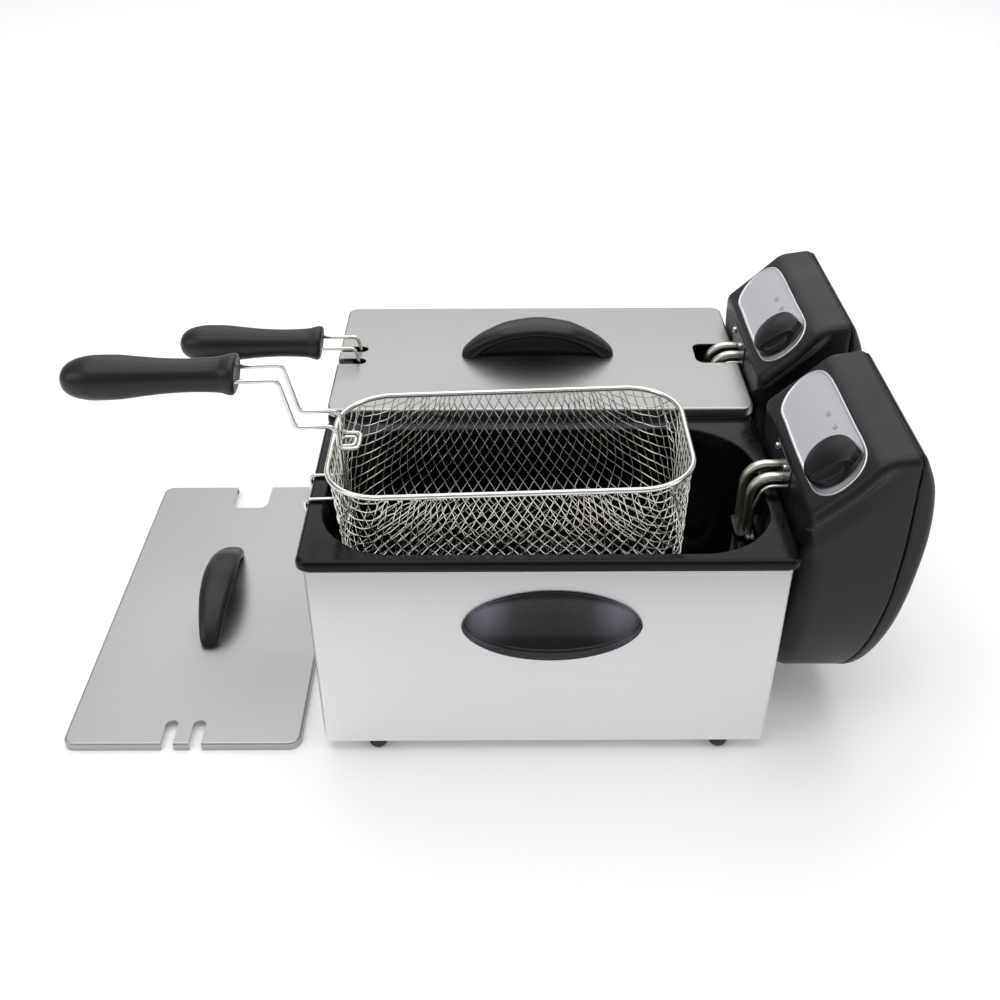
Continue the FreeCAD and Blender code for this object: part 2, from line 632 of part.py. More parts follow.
# -------------------------------------------------------------------- basket
def basket():
    """local frame: rim top at z = 0, middle of the rim at x = y = 0,
    handle towards -x"""
    p = {}
    hl, hw = BASKET_L / 2, BASKET_W / 2
    rw = RIM_WIRE
    x, y = hl - rw, hw - rw
    p["basket_rim"] = rod([(-x, -y, -rw), (x, -y, -rw), (x, y, -rw), (-x, y, -rw)], rw, BASKET_R - rw, True)
    m = 1.6
    a = tub(-hl + m, hl - m, -hw + m, hw - m, BASKET_R - m, -2 * rw - 0.02, -BASKET_D, 3.0, 14.0)
    b = tub(-hl + m + BASKET_T, hl - m - BASKET_T, -hw + m + BASKET_T, hw - m - BASKET_T, BASKET_R - m - BASKET_T,
            -2 * rw + 0.98, -BASKET_D + BASKET_T, 3.0, 14.0 - BASKET_T)
    p["basket_mesh"] = a.cut(b)
    hk = 1.25
    zh = -33.4
    p["basket_hooks"] = rod([(-hl + 2.0, -13.3, zh), (-129.8, -13.3, zh), (-129.8, -13.3, zh - 11.5),
                             (-129.8, 13.3, zh - 11.5), (-129.8, 13.3, zh), (-hl + 2.0, 13.3, zh)], hk, 3.2)
    xb = -hl + 7.6
    p["basket_bracket"] = rod([(xb - 0.2, -5.0, -52), (xb, -5.0, 0.6), (xb + 9.0, -5.0, 0.6), (xb + 9.0, 5.0, 0.6),
                               (xb, 5.0, 0.6), (xb - 0.2, 5.0, -52)], 1.1, 2.6)
    p["basket_bracket"] = p["basket_bracket"].fuse(cyl((xb - 0.2, -12, -51.4), (0, 1, 0), 1.25, 24))
    w = 1.4
    yw = 9.25
    p["handle_wire"] = rod([(-240, -yw, 49.6), (-138.2, -yw, 49.6), (-130.6, -yw, 17.0), (xb, -yw, 17.0), (xb, -yw, 0.6),
                            (-92.6, -yw, 0.6), (-92.6, yw, 0.6), (xb, yw, 0.6), (xb, yw, 17.0),
                            (-130.6, yw, 17.0), (-138.2, yw, 49.6), (-240, yw, 49.6)], w, [0, 5, 5, 6, 4, 4, 4, 4, 6, 5, 5, 0])
    # moulded grip: oval sections, flared front end, waist, bulge and rounded tail
    secs = [(-161.4, 12.4, 11.2), (-163.5, 13.2, 12.0), (-168, 12.2, 11.0), (-176, 11.0, 10.0), (-190, 10.6, 9.6), (-204, 11.0, 10.0),
            (-220, 12.6, 11.4), (-234, 14.4, 12.9), (-246, 14.6, 13.0), (-256, 13.0, 11.5), (-263, 9.6, 8.2), (-266.4, 4.6, 3.8)]
    ws = []
    for sx, ry, rz in secs:
        big, small = max(ry, rz), min(ry, rz)
        el = Part.Ellipse(V(sx, ry, 49.6), V(sx, 0, 49.6 + rz), V(sx, 0, 49.6))
        ws.append(Part.Wire([el.toShape()]))
    g = Part.makeLoft(ws, True, False)
    for s in (-1, 1):
        g = g.cut(cyl((-241, s * yw, 49.6), (1, 0, 0), w, 100)) if yw + w < 8 else g
    p["handle_grip"] = g
    return p


def place(s, ang, at):
    c = s.copy()
    if ang:
        c.rotate(V(0, 0, 0), V(0, 1, 0), ang)
    c.translate(V(*at))
    return c


bk = basket()
# the wires run into the grip
bk["handle_wire"] = bk["handle_wire"]
grip = bk["handle_grip"]
grip = grip.cut(bk["handle_wire"])
bk["handle_grip"] = grip
FRONT_BASKET = (-22.7, -85.7, 198.0)
FRONT_TILT = -1.4
REAR_BASKET = (0.0, 80.0, 127.6)
for k, s in bk.items():
    put("front_" + k, place(s, FRONT_TILT, FRONT_BASKET))
    put("rear_" + k, place(s, 0.0, REAR_BASKET))


# ----------------------------------------------------------------------- lid
def lid():
    """local frame: skirt bottom at z = 0, handle slots towards -x"""
    p = {}
    hl, hw = LID_L / 2, LID_W / 2
    a = block(-hl, hl, -hw, hw, 0, LID_H, LID_R)
    es = [e for e in a.Edges if e.BoundBox.ZLength < 0.01 and e.BoundBox.ZMin > LID_H - 0.01]
    a = a.makeFillet(1.8, es)
    a = a.cut(block(-hl + LID_T, hl - LID_T, -hw + LID_T, hw - LID_T, -1, LID_H - LID_T, LID_R - LID_T))
    for y in (-9.4, 9.4):
        c = block(-hl - 5, -hl + 21.5, y - 4.3, y + 4.3, -2, LID_H + 2)
        ed = [e for e in c.Edges if e.BoundBox.ZLength > 5 and e.BoundBox.XMin > -hl]
        a = a.cut(c.makeFillet(4.25, ed))
    n = block(hl - 31.6, hl + 5, -14.0, 16.0, -2, LID_H + 2)
    ed = [e for e in n.Edges if e.BoundBox.ZLength > 5 and e.BoundBox.XMax < hl]
    a = a.cut(n.makeFillet(7.0, ed))
    for x in (-50.0, 50.0):
        a = a.cut(cyl((x, 0, 0), (0, 0, 1), 2.1, 20))
    p["lid_panel"] = clean(a)
    # arched handle, wide in the middle, recessed below
    z0 = LID_H + 0.05
    o = [(-57.0, 0.0), (-55.6, 3.6), (-48, 12.2), (-36, 19.8), (-20, 25.6), (0, 27.8), (20, 25.6), (36, 19.8), (48, 12.2), (55.6, 3.6), (57.0, 0.0)]
    i = [(43.5, 0.0), (38, 5.4), (28, 11.6), (14, 16.2), (0, 17.6), (-14, 16.2), (-28, 11.6), (-38, 5.4), (-43.5, 0.0)]
    so = Part.BSplineCurve()
    so.interpolate([V(x, 0, z0 + z) for x, z in o])
    si = Part.BSplineCurve()
    si.interpolate([V(x, 0, z0 + z) for x, z in i])
    f = Part.Face(Part.Wire([so.toShape(), Part.makeLine(V(57.0, 0, z0), V(43.5, 0, z0)), si.toShape(),
                             Part.makeLine(V(-43.5, 0, z0), V(-57.0, 0, z0))]))
    f.translate(V(0, -20, 0))
    arch = f.extrude(V(0, 40, 0))
    # plan outline: 24 wide in the middle, 14 at the ends, rounded
    pl = [(-57, 0), (-56.2, 4.4), (-52.5, 7.2), (-40, 9.2), (-20, 11.4), (0, 12.2), (20, 11.4), (40, 9.2), (52.5, 7.2), (56.2, 4.4), (57, 0),
          (56.2, -4.4), (52.5, -7.2), (40, -9.2), (20, -11.4), (0, -12.2), (-20, -11.4), (-40, -9.2), (-52.5, -7.2), (-56.2, -4.4)]
    c = Part.BSplineCurve()
    c.interpolate([V(x, y, z0 - 1) for x, y in pl], True)
    plan = Part.Face(Part.Wire([c.toShape()])).extrude(V(0, 0, 40))
    h = arch.common(plan)
    # web under the arch, on the middle line, with a finger recess on each side
    wb = Part.Face(Part.Wire([si.toShape(), Part.makeLine(V(-43.5, 0, z0), V(43.5, 0, z0))]))
    wb.translate(V(0, -1.8, 0))
    h = h.fuse(wb.extrude(V(0, 3.6, 0)))
    # screw holes up into the feet of the handle
    for x in (-50.0, 50.0):
        h = h.cut(cyl((x, 0, LID_H - 2), (0, 0, 1), 1.55, 8.0))
    p["lid_handle"] = clean(h)
    sc = []
    for x in (-50.0, 50.0):
        sc.append(cyl((x, 0, LID_H - LID_T - 1.6), (0, 0, 1), 3.4, 1.6).fuse(cyl((x, 0, LID_H - LID_T - 0.5), (0, 0, 1), 1.5, 7.0)))
    p["lid_screws"] = Part.makeCompound(sc)
    return p


ld = lid()
for k, s in ld.items():
    r = s.copy()
    r.translate(V(0, 80.8, RIM_TOP + 0.35))
    put("rear_" + k, r)
    f = s.copy()
    f.rotate(V(0, 0, 0), V(0, 0, 1), 90)
    f.translate(V(-242.3, -9.3, -SHIFT_Z))
    put("front_" + k, f)

# -------------------------------------------------------------------- export
os.makedirs("parts", exist_ok=True)
for name, s in out.items():
    s = s.copy()
    s.translate(V(SHIFT_X, 0, SHIFT_Z))
    Part.Shape(s).exportStep(os.path.join("parts", name + ".step"))
    b = s.BoundBox
    print("%-26s %d solids valid=%s vol=%.1f  x %.1f %.1f  y %.1f %.1f  z %.1f %.1f" % (
        name, len(s.Solids), s.isValid(), s.Volume / 1000.0, b.XMin, b.XMax, b.YMin, b.YMax, b.ZMin, b.ZMax))
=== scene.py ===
import json
import math
import random

import bpy
import bmesh
import numpy as np
from mathutils import Matrix, Vector


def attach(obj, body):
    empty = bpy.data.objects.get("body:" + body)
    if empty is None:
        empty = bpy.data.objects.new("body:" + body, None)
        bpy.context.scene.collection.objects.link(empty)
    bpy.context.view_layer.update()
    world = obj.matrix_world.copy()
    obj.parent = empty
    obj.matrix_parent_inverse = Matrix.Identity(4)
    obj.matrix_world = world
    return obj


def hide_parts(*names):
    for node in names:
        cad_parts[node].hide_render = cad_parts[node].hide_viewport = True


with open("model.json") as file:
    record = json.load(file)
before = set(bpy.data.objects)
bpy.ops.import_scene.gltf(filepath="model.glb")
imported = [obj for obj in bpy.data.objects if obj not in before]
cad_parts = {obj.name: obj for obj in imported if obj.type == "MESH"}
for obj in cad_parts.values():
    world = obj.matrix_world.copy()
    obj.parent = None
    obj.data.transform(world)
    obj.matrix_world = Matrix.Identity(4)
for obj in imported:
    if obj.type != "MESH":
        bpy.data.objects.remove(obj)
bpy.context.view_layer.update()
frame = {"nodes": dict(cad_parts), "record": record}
NODES = frame["nodes"]
random.seed(7)
RNG = np.random.default_rng(7)

SX, SZ = 47.65, 2.0      # the frame origin, seen from the middle of the cabinet
PITCH = 161.3


def P(x, y, z):
    """millimetres from the middle of the cabinet to metres in the frame"""
    return Vector(((x + SX) / 1000.0, y / 1000.0, (z + SZ) / 1000.0))


# ------------------------------------------------------------------ camera
cam_data = bpy.data.cameras.new("camera")
cam = bpy.data.objects.new("camera", cam_data)
bpy.context.scene.collection.objects.link(cam)
cam_data.sensor_width = 36.0
cam_data.sensor_fit = "AUTO"
cam_data.lens = 41.098
cam_data.clip_start, cam_data.clip_end = 0.02, 40.0
fwd = Vector((-0.0004024, 0.8132249, -0.5819493)).normalized()
right = Vector((0.99999207, -0.00197835, -0.00345604)).normalized()
up = right.cross(fwd).normalized()
rot = Matrix((right, up, -fwd)).transposed()
cam.matrix_world = Matrix.Translation(P(-28.2956, -683.0609, 578.0374)) @ rot.to_4x4()
bpy.context.scene.camera = cam

# ------------------------------------------------------------------- light
scene = bpy.context.scene
scene.view_settings.view_transform = "Standard"
scene.view_settings.look = "None"
scene.view_settings.exposure = 0.0
scene.view_settings.gamma = 1.0
world = bpy.data.worlds.new("world")
scene.world = world
world.use_nodes = True
wn = world.node_tree
bg = wn.nodes["Background"]
bg.inputs["Color"].default_value = (0.97, 0.985, 1.0, 1.0)
bg.inputs["Strength"].default_value = 0.40


def area(name, at, look, size, power, colour=(1, 1, 1), shape="RECTANGLE", size_y=None, spread=180):
    d = bpy.data.lights.new(name, "AREA")
    d.shape = shape
    d.size = size
    d.size_y = size_y if size_y else size
    d.energy = power
    d.color = colour
    d.spread = math.radians(spread)
    o = bpy.data.objects.new(name, d)
    bpy.context.scene.collection.objects.link(o)
    o.location = at
    o.rotation_mode = "QUATERNION"
    o.rotation_quaternion = (Vector(look) - Vector(at)).to_track_quat("-Z", "Y")
    return o


area("overhead", (0.0, 0.2, 2.6), (0.0, 0.0, 0.0), 3.2, 54.0, size_y=3.2)
area("back", (0.0, 3.0, 2.3), (0.0, 0.0, 0.1), 3.6, 24.0, size_y=2.0)
area("left", (-2.0, -0.9, 1.3), (0.0, 0.0, 0.1), 1.2, 8.0, size_y=1.4)
area("right", (2.2, -0.9, 1.2), (0.1, 0.0, 0.1), 1.0, 6.0, size_y=1.4)

# ------------------------------------------------------------------- floor
fm = bpy.data.meshes.new("floor")
fm.from_pydata([(-6, -6, 0), (6, -6, 0), (6, 6, 0), (-6, 6, 0)], [], [(0, 1, 2, 3)])
floor = bpy.data.objects.new("floor", fm)
scene.collection.objects.link(floor)


# --------------------------------------------------------------- materials
def new_mat(name, base, metal=0.0, rough=0.5, spec=0.5, coat=0.0, coat_rough=0.1, aniso=0.0, ior=1.5):
    m = bpy.data.materials.new(name)
    m.use_nodes = True
    b = m.node_tree.nodes["Principled BSDF"]
    b.inputs["Base Color"].default_value = (*base, 1.0)
    b.inputs["Metallic"].default_value = metal
    b.inputs["Roughness"].default_value = rough
    b.inputs["Specular IOR Level"].default_value = spec
    b.inputs["Coat Weight"].default_value = coat
    b.inputs["Coat Roughness"].default_value = coat_rough
    b.inputs["Anisotropic"].default_value = aniso
    b.inputs["IOR"].default_value = ior
    m.diffuse_color = (*base, 1.0)
    return m


class Nodes:
    """small helper round one material's tree"""

    def __init__(self, m):
        self.t = m.node_tree
        self.b = self.t.nodes["Principled BSDF"]
        self.co = self.t.nodes.new("ShaderNodeTexCoord")
        self.x = -1200

    def add(self, kind, **kw):
        n = self.t.nodes.new(kind)
        n.location = (self.x, 0)
        self.x += 60
        for k, v in kw.items():
            setattr(n, k, v)
        return n

    def link(self, a, b):
        self.t.links.new(a, b)

    def noise(self, scale=(1, 1, 1), detail=3.0, rough=0.55, size=1.0, rotate=(0, 0, 0), distortion=0.0):
        mp = self.add("ShaderNodeMapping")
        mp.inputs["Scale"].default_value = scale
        mp.inputs["Rotation"].default_value = rotate
        self.link(self.co.outputs["Object"], mp.inputs["Vector"])
        n = self.add("ShaderNodeTexNoise")
        n.inputs["Scale"].default_value = size
        n.inputs["Detail"].default_value = detail
        n.inputs["Roughness"].default_value = rough
        n.inputs["Distortion"].default_value = distortion
        self.link(mp.outputs["Vector"], n.inputs["Vector"])
        return n.outputs["Fac"]

    def ramp(self, fac, stops):
        r = self.add("ShaderNodeValToRGB")
        e = r.color_ramp.elements
        while len(e) < len(stops):
            e.new(0.5)
        for el, (p, c) in zip(e, stops):
            el.position = p
            el.color = (*c, 1.0) if len(c) == 3 else c
        self.link(fac, r.inputs["Fac"])
        return r.outputs["Color"]

    def span(self, fac, a, b, lo=0.3, hi=0.7):
        r = self.add("ShaderNodeMapRange")
        r.inputs["From Min"].default_value = lo
        r.inputs["From Max"].default_value = hi
        r.inputs["To Min"].default_value = a
        r.inputs["To Max"].default_value = b
        self.link(fac, r.inputs["Value"])
        return r.outputs["Result"]

    def math(self, op, a, b):
        n = self.add("ShaderNodeMath", operation=op)
        for i, v in enumerate((a, b)):
            if isinstance(v, (int, float)):
                n.inputs[i].default_value = v
            else:
                self.link(v, n.inputs[i])
        return n.outputs[0]

    def bump(self, height, strength, distance, after=None):
        n = self.add("ShaderNodeBump")
        n.inputs["Strength"].default_value = strength
        n.inputs["Distance"].default_value = distance
        self.link(height, n.inputs["Height"])
        if after is not None:
            self.link(after, n.inputs["Normal"])
        return n.outputs["Normal"]

    def colour(self, c):
        self.link(c, self.b.inputs["Base Color"])

    def roughness(self, r):
        self.link(r, self.b.inputs["Roughness"])

    def normal(self, n):
        self.link(n, self.b.inputs["Normal"])


def shade(c, k):
    return tuple(min(1.0, v * k) for v in c)


def brushed(name, base, rough, fine, broad=(3, 3, 3), amount=0.05, bump=0.06, aniso=0.35):
    """brushed sheet: fine streaks in one direction over a broad soft mottle"""
    m = new_mat(name, base, metal=1.0, rough=rough, aniso=aniso)
    n = Nodes(m)
    streak = n.noise(fine, detail=4.0, rough=0.65)
    streak2 = n.noise(tuple(v * 0.31 for v in fine), detail=2.0, rough=0.5)
    mottle = n.noise(broad, detail=2.0, rough=0.5)
    s = n.math("ADD", n.math("MULTIPLY", streak, 0.62), n.math("MULTIPLY", streak2, 0.38))
    s = n.math("ADD", n.math("MULTIPLY", s, 0.8), n.math("MULTIPLY", mottle, 0.2))
    n.colour(n.ramp(s, [(0.30, shade(base, 1 - amount)), (0.5, base), (0.72, shade(base, 1 + amount))]))
    n.roughness(n.span(s, rough - 0.05, rough + 0.07))
    n.normal(n.bump(streak, bump, 0.00006))
    return m


def plastic(name, base, rough, grain=900.0, bump=0.12, amount=0.12, spec=0.5, mark=0.05):
    """moulded plastic: fine spark-eroded grain and slight handling marks"""
    m = new_mat(name, base, rough=rough, spec=spec)
    n = Nodes(m)
    fine = n.noise((grain, grain, grain), detail=2.0, rough=0.5)
    soft = n.noise((28, 28, 28), detail=3.0, rough=0.6)
    n.colour(n.ramp(n.math("ADD", n.math("MULTIPLY", fine, 0.5), n.math("MULTIPLY", soft, 0.5)),
                    [(0.35, shade(base, 1 - amount)), (0.65, shade(base, 1 + amount))]))
    n.roughness(n.span(soft, rough - mark, rough + mark))
    n.normal(n.bump(fine, bump, 0.00005))
    return m


M = {}
M["brushed_stainless"] = brushed("brushed_stainless", (0.73, 0.72, 0.715), 0.36, (14, 14, 1500), amount=0.035, bump=0.05)
m = M["brushed_stainless"]
n = Nodes(m)
sep = n.add("ShaderNodeSeparateXYZ")
n.link(n.co.outputs["Object"], sep.inputs["Vector"])
# painted shade: the housing steel is multiplied lighter near the bottom and darker towards the top, standing in for
# the shade under the rim
painted_top_shade = n.ramp(n.span(sep.outputs["Z"], 0.0, 1.0, 0.010, 0.160), [(0.0, (1.10, 1.10, 1.10)), (0.45, (0.97, 0.97, 0.97)), (0.75, (0.86, 0.86, 0.86)), (1.0, (0.60, 0.60, 0.60))])
mul = n.add("ShaderNodeMix", data_type="RGBA", blend_type="MULTIPLY")
mul.inputs["Factor"].default_value = 1.0
old = m.node_tree.nodes["Principled BSDF"].inputs["Base Color"].links[0].from_socket
n.link(old, mul.inputs[6])
n.link(painted_top_shade, mul.inputs[7])
n.colour(mul.outputs[2])
M["brushed_lid"] = brushed("brushed_lid", (0.435, 0.428, 0.422), 0.36, (10, 1500, 300), amount=0.05, bump=0.06)
M["zinc_plate"] = brushed("zinc_plate", (0.62, 0.62, 0.61), 0.42, (220, 220, 220), amount=0.10, bump=0.05)
M["foot_rubber"] = plastic("foot_rubber", (0.028, 0.027, 0.027), 0.7, grain=1400, bump=0.2)
M["steel_screw"] = brushed("steel_screw", (0.70, 0.69, 0.67), 0.25, (900, 900, 60), amount=0.06)
M["cup_plastic"] = plastic("cup_plastic", (0.008, 0.008, 0.010), 0.26, grain=1100, bump=0.04, spec=0.30)
# painted reflection: lighter bluish bands on the left and right sides of each bowl, in a band of height, stand in
# for studio light reflected there; the middle and the lip stay dark
m = M["cup_plastic"]
n = Nodes(m)
sep = n.add("ShaderNodeSeparateXYZ")
n.link(n.co.outputs["Object"], sep.inputs["Vector"])
off = n.math("ABSOLUTE", n.math("SUBTRACT", sep.outputs["X"], 0.05055), 0.0)
side = n.ramp(n.span(off, 0.0, 1.0, 0.0, 0.056), [(0.12, (0.005, 0.005, 0.006)), (0.42, (0.020, 0.020, 0.025)), (0.72, (0.150, 0.148, 0.182)), (0.86, (0.110, 0.108, 0.132)), (0.97, (0.006, 0.006, 0.007))])
painted_reflection_band = n.ramp(n.span(sep.outputs["Z"], 0.0, 1.0, 0.084, 0.140), [(0.18, (0.0, 0.0, 0.0)), (0.48, (0.75, 0.75, 0.75)), (0.68, (1, 1, 1)), (0.95, (0.25, 0.25, 0.25))])
mul = n.add("ShaderNodeMix", data_type="RGBA", blend_type="MIX")
n.link(painted_reflection_band, mul.inputs[0])
mul.inputs[6].default_value = (0.0055, 0.0055, 0.0065, 1)
n.link(side, mul.inputs[7])
n.colour(mul.outputs[2])
M["head_plastic"] = plastic("head_plastic", (0.0080, 0.0080, 0.0085), 0.38, grain=1000, bump=0.06, spec=0.29)
M["inner_plastic"] = plastic("inner_plastic", (0.05, 0.05, 0.05), 0.5)
M["knob_plastic"] = plastic("knob_plastic", (0.0045, 0.0045, 0.006), 0.30, grain=1300, bump=0.06, spec=0.26)
M["grip_plastic"] = plastic("grip_plastic", (0.008, 0.008, 0.010), 0.34, grain=1300, bump=0.05, spec=0.36)
M["fascia_silver"] = brushed("fascia_silver", (0.73, 0.735, 0.755), 0.42, (700, 700, 700), amount=0.03, bump=0.04, aniso=0.0)
M["polished_plate"] = brushed("polished_plate", (0.085, 0.083, 0.081), 0.30, (120, 700, 120), amount=0.05, bump=0.04)
M["element_sheath"] = brushed("element_sheath", (0.64, 0.63, 0.57), 0.33, (300, 300, 300), amount=0.10, bump=0.06)
M["basket_wire"] = brushed("basket_wire", (0.76, 0.745, 0.70), 0.17, (260, 260, 260), amount=0.08, bump=0.04)

m = new_mat("lamp_lens", (0.30, 0.28, 0.27), rough=0.12, coat=0.6, coat_rough=0.05)
n = Nodes(m)
n.colour(n.ramp(n.noise((900, 900, 900)), [(0.3, (0.36, 0.34, 0.33)), (0.7, (0.46, 0.44, 0.43))]))
n.normal(n.bump(n.noise((600, 600, 600)), 0.15, 0.0001))
M["lamp_lens"] = m

m = new_mat("black_enamel", (0.0035, 0.0035, 0.004), rough=0.14, spec=0.17)
n = Nodes(m)
peel = n.noise((210, 210, 210), detail=1.0)
speck = n.noise((2200, 2200, 2200), detail=1.0)
n.colour(n.ramp(speck, [(0.4, (0.003, 0.003, 0.0034)), (0.8, (0.006, 0.006, 0.0064))]))
n.roughness(n.span(peel, 0.12, 0.22))
n.normal(n.bump(peel, 0.10, 0.00012))
M["black_enamel"] = m

m = new_mat("floor_pale", (0.95, 0.95, 0.95), rough=0.9, spec=0.1)
m.node_tree.nodes["Principled BSDF"].inputs["Emission Color"].default_value = (1, 1, 1, 1)
m.node_tree.nodes["Principled BSDF"].inputs["Emission Strength"].default_value = 0.10
floor.data.materials.append(m)

SLOT = {s["node"]: s["material_slot"] for s in frame["record"]["subparts"]}
for name, o in NODES.items():
    mt = M[SLOT[name]]
    if o.data.materials:
        for i in range(len(o.data.materials)):
            o.data.materials[i] = mt
    else:
        o.data.materials.append(mt)

# ------------------------------------------------------------------ pieces
def spline(xs, ys, q):
    """smooth curve through the points, with no overshoot to speak of"""
    xs, ys, q = np.asarray(xs, float), np.asarray(ys, float), np.asarray(q, float)
    h = np.diff(xs)
    s = np.diff(ys) / h
    m = np.zeros(len(xs))
    m[1:-1] = np.where(s[:-1] * s[1:] > 0, 2 * s[:-1] * s[1:] / (s[:-1] + s[1:] + 1e-12), 0)
    m[0], m[-1] = s[0], s[-1]
    k = np.clip(np.searchsorted(xs, q) - 1, 0, len(h) - 1)
    t = (q - xs[k]) / h[k]
    t2, t3 = t * t, t * t * t
    return ((2 * t3 - 3 * t2 + 1) * ys[k] + (t3 - 2 * t2 + t) * h[k] * m[k]
            + (-2 * t3 + 3 * t2) * ys[k + 1] + (t3 - t2) * h[k] * m[k + 1])


def make(name, verts, faces, body, slot_name, stands_for=(), smooth=True, mat=None, weld=True):
    """mesh in millimetres from the middle of the cabinet"""
    v = np.asarray(verts, float).reshape(-1, 3)
    v = (v + np.array([SX, 0, SZ])) / 1000.0
    me = bpy.data.meshes.new(name)
    me.from_pydata([tuple(a) for a in v], [], faces)
    me.validate()
    if weld:
        bm = bmesh.new()
        bm.from_mesh(me)
        bmesh.ops.remove_doubles(bm, verts=bm.verts, dist=1e-6)
        bmesh.ops.recalc_face_normals(bm, faces=bm.faces)
        if bm.calc_volume(signed=True) < 0:
            bmesh.ops.reverse_faces(bm, faces=bm.faces)
        bm.to_mesh(me)
        bm.free()
    me.update()
    if smooth:
        me.polygons.foreach_set("use_smooth", [True] * len(me.polygons))
    o = bpy.data.objects.new(name, me)
    scene.collection.objects.link(o)
    me.materials.append(mat if mat is not None else M[slot_name])
    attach(o, body)
    if stands_for:
        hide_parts(*stands_for)
    return o


def skin(rings, closed=True, cap_start=False, cap_end=False, base=0):
    """faces between rings of points, each ring the same length"""
    n, k = len(rings), len(rings[0])
    faces = []
    for a in range(n - 1):
        for b in range(k if closed else k - 1):
            c = (b + 1) % k
            faces.append((base + a * k + b, base + a * k + c, base + (a + 1) * k + c, base + (a + 1) * k + b))
    if cap_start:
        faces.append(tuple(base + b for b in reversed(range(k))))
    if cap_end:
        faces.append(tuple(base + (n - 1) * k + b for b in range(k)))
    return faces


def tilt(v, deg, at):
    """turn about Y and move, as the basket sits"""
    v = np.asarray(v, float)
    a = math.radians(deg)
    c, s = math.cos(a), math.sin(a)
    out = v.copy()
    out[..., 0] = c * v[..., 0] + s * v[..., 2]
    out[..., 2] = -s * v[..., 0] + c * v[..., 2]
    return out + np.array(at, float)


BASKETS = {"front": (-1.4, (-22.7, -85.7, 198.0)), "rear": (0.0, (0.0, 80.0, 127.6))}
TUBS = {"front": (-1.9, (-22.7, -85.7, 198.6)), "rear": (0.0, (0.0, 80.0, 127.6))}

# ---- woven wire: a flat bias weave drawn down into the tub of the basket
CORE_X, CORE_Y = 76.0, 24.5


def tub_project(p, h, zt, rtop, taper, rb, rf):
    """nearest points on the open tub of depth h, with a flat flange round it"""
    cx = np.clip(p[..., 0], -CORE_X, CORE_X)
    cy = np.clip(p[..., 1], -CORE_Y, CORE_Y)
    vx, vy, z = p[..., 0] - cx, p[..., 1] - cy, p[..., 2]
    d = np.sqrt(vx * vx + vy * vy)
    zf = zt - h
    wb = rtop - taper * min(1.0, h / 80.0)
    rbb = min(rb, 0.48 * h)
    rff = min(rf, 0.48 * h)
    f0 = wb - rbb
    cand = [(np.clip(d, 0, f0), np.full_like(d, zf))]
    ux, uz = d - f0, z - (zf + rbb)
    n = np.sqrt(ux * ux + uz * uz) + 1e-9
    ok = (ux >= 0) & (uz <= 0)
    cand.append((np.where(ok, f0 + ux / n * rbb, 1e6), np.where(ok, zf + rbb + uz / n * rbb, 1e6)))
    ax, az = wb, zf + rbb
    bx, bz_ = rtop - wb, zt - rff - az
    t = np.clip(((d - ax) * bx + (z - az) * bz_) / (bx * bx + bz_ * bz_ + 1e-9), 0, 1)
    cand.append((ax + t * bx, az + t * bz_))
    ux, uz = d - (rtop + rff), z - (zt - rff)
    n = np.sqrt(ux * ux + uz * uz) + 1e-9
    ok = (ux <= 0) & (uz >= 0)
    cand.append((np.where(ok, rtop + rff + ux / n * rff, 1e6), np.where(ok, zt - rff + uz / n * rff, 1e6)))
    cand.append((np.maximum(d, rtop + rff), np.full_like(d, zt)))
    best = np.full_like(d, 1e30)
    bd, bz = d.copy(), z.copy()
    for cd, cz in cand:
        q = (cd - d) ** 2 + (cz - z) ** 2
        m = q < best
        best = np.where(m, q, best)
        bd = np.where(m, cd, bd)
        bz = np.where(m, cz, bz)
    s = bd / np.maximum(d, 1e-6)
    inside = d < 1e-6
    out = np.empty_like(p)
    out[..., 0] = np.where(inside, p[..., 0], cx + vx * s)
    out[..., 1] = np.where(inside, p[..., 1], cy + vy * s)
    out[..., 2] = np.where(inside, zf, bz)
    return out


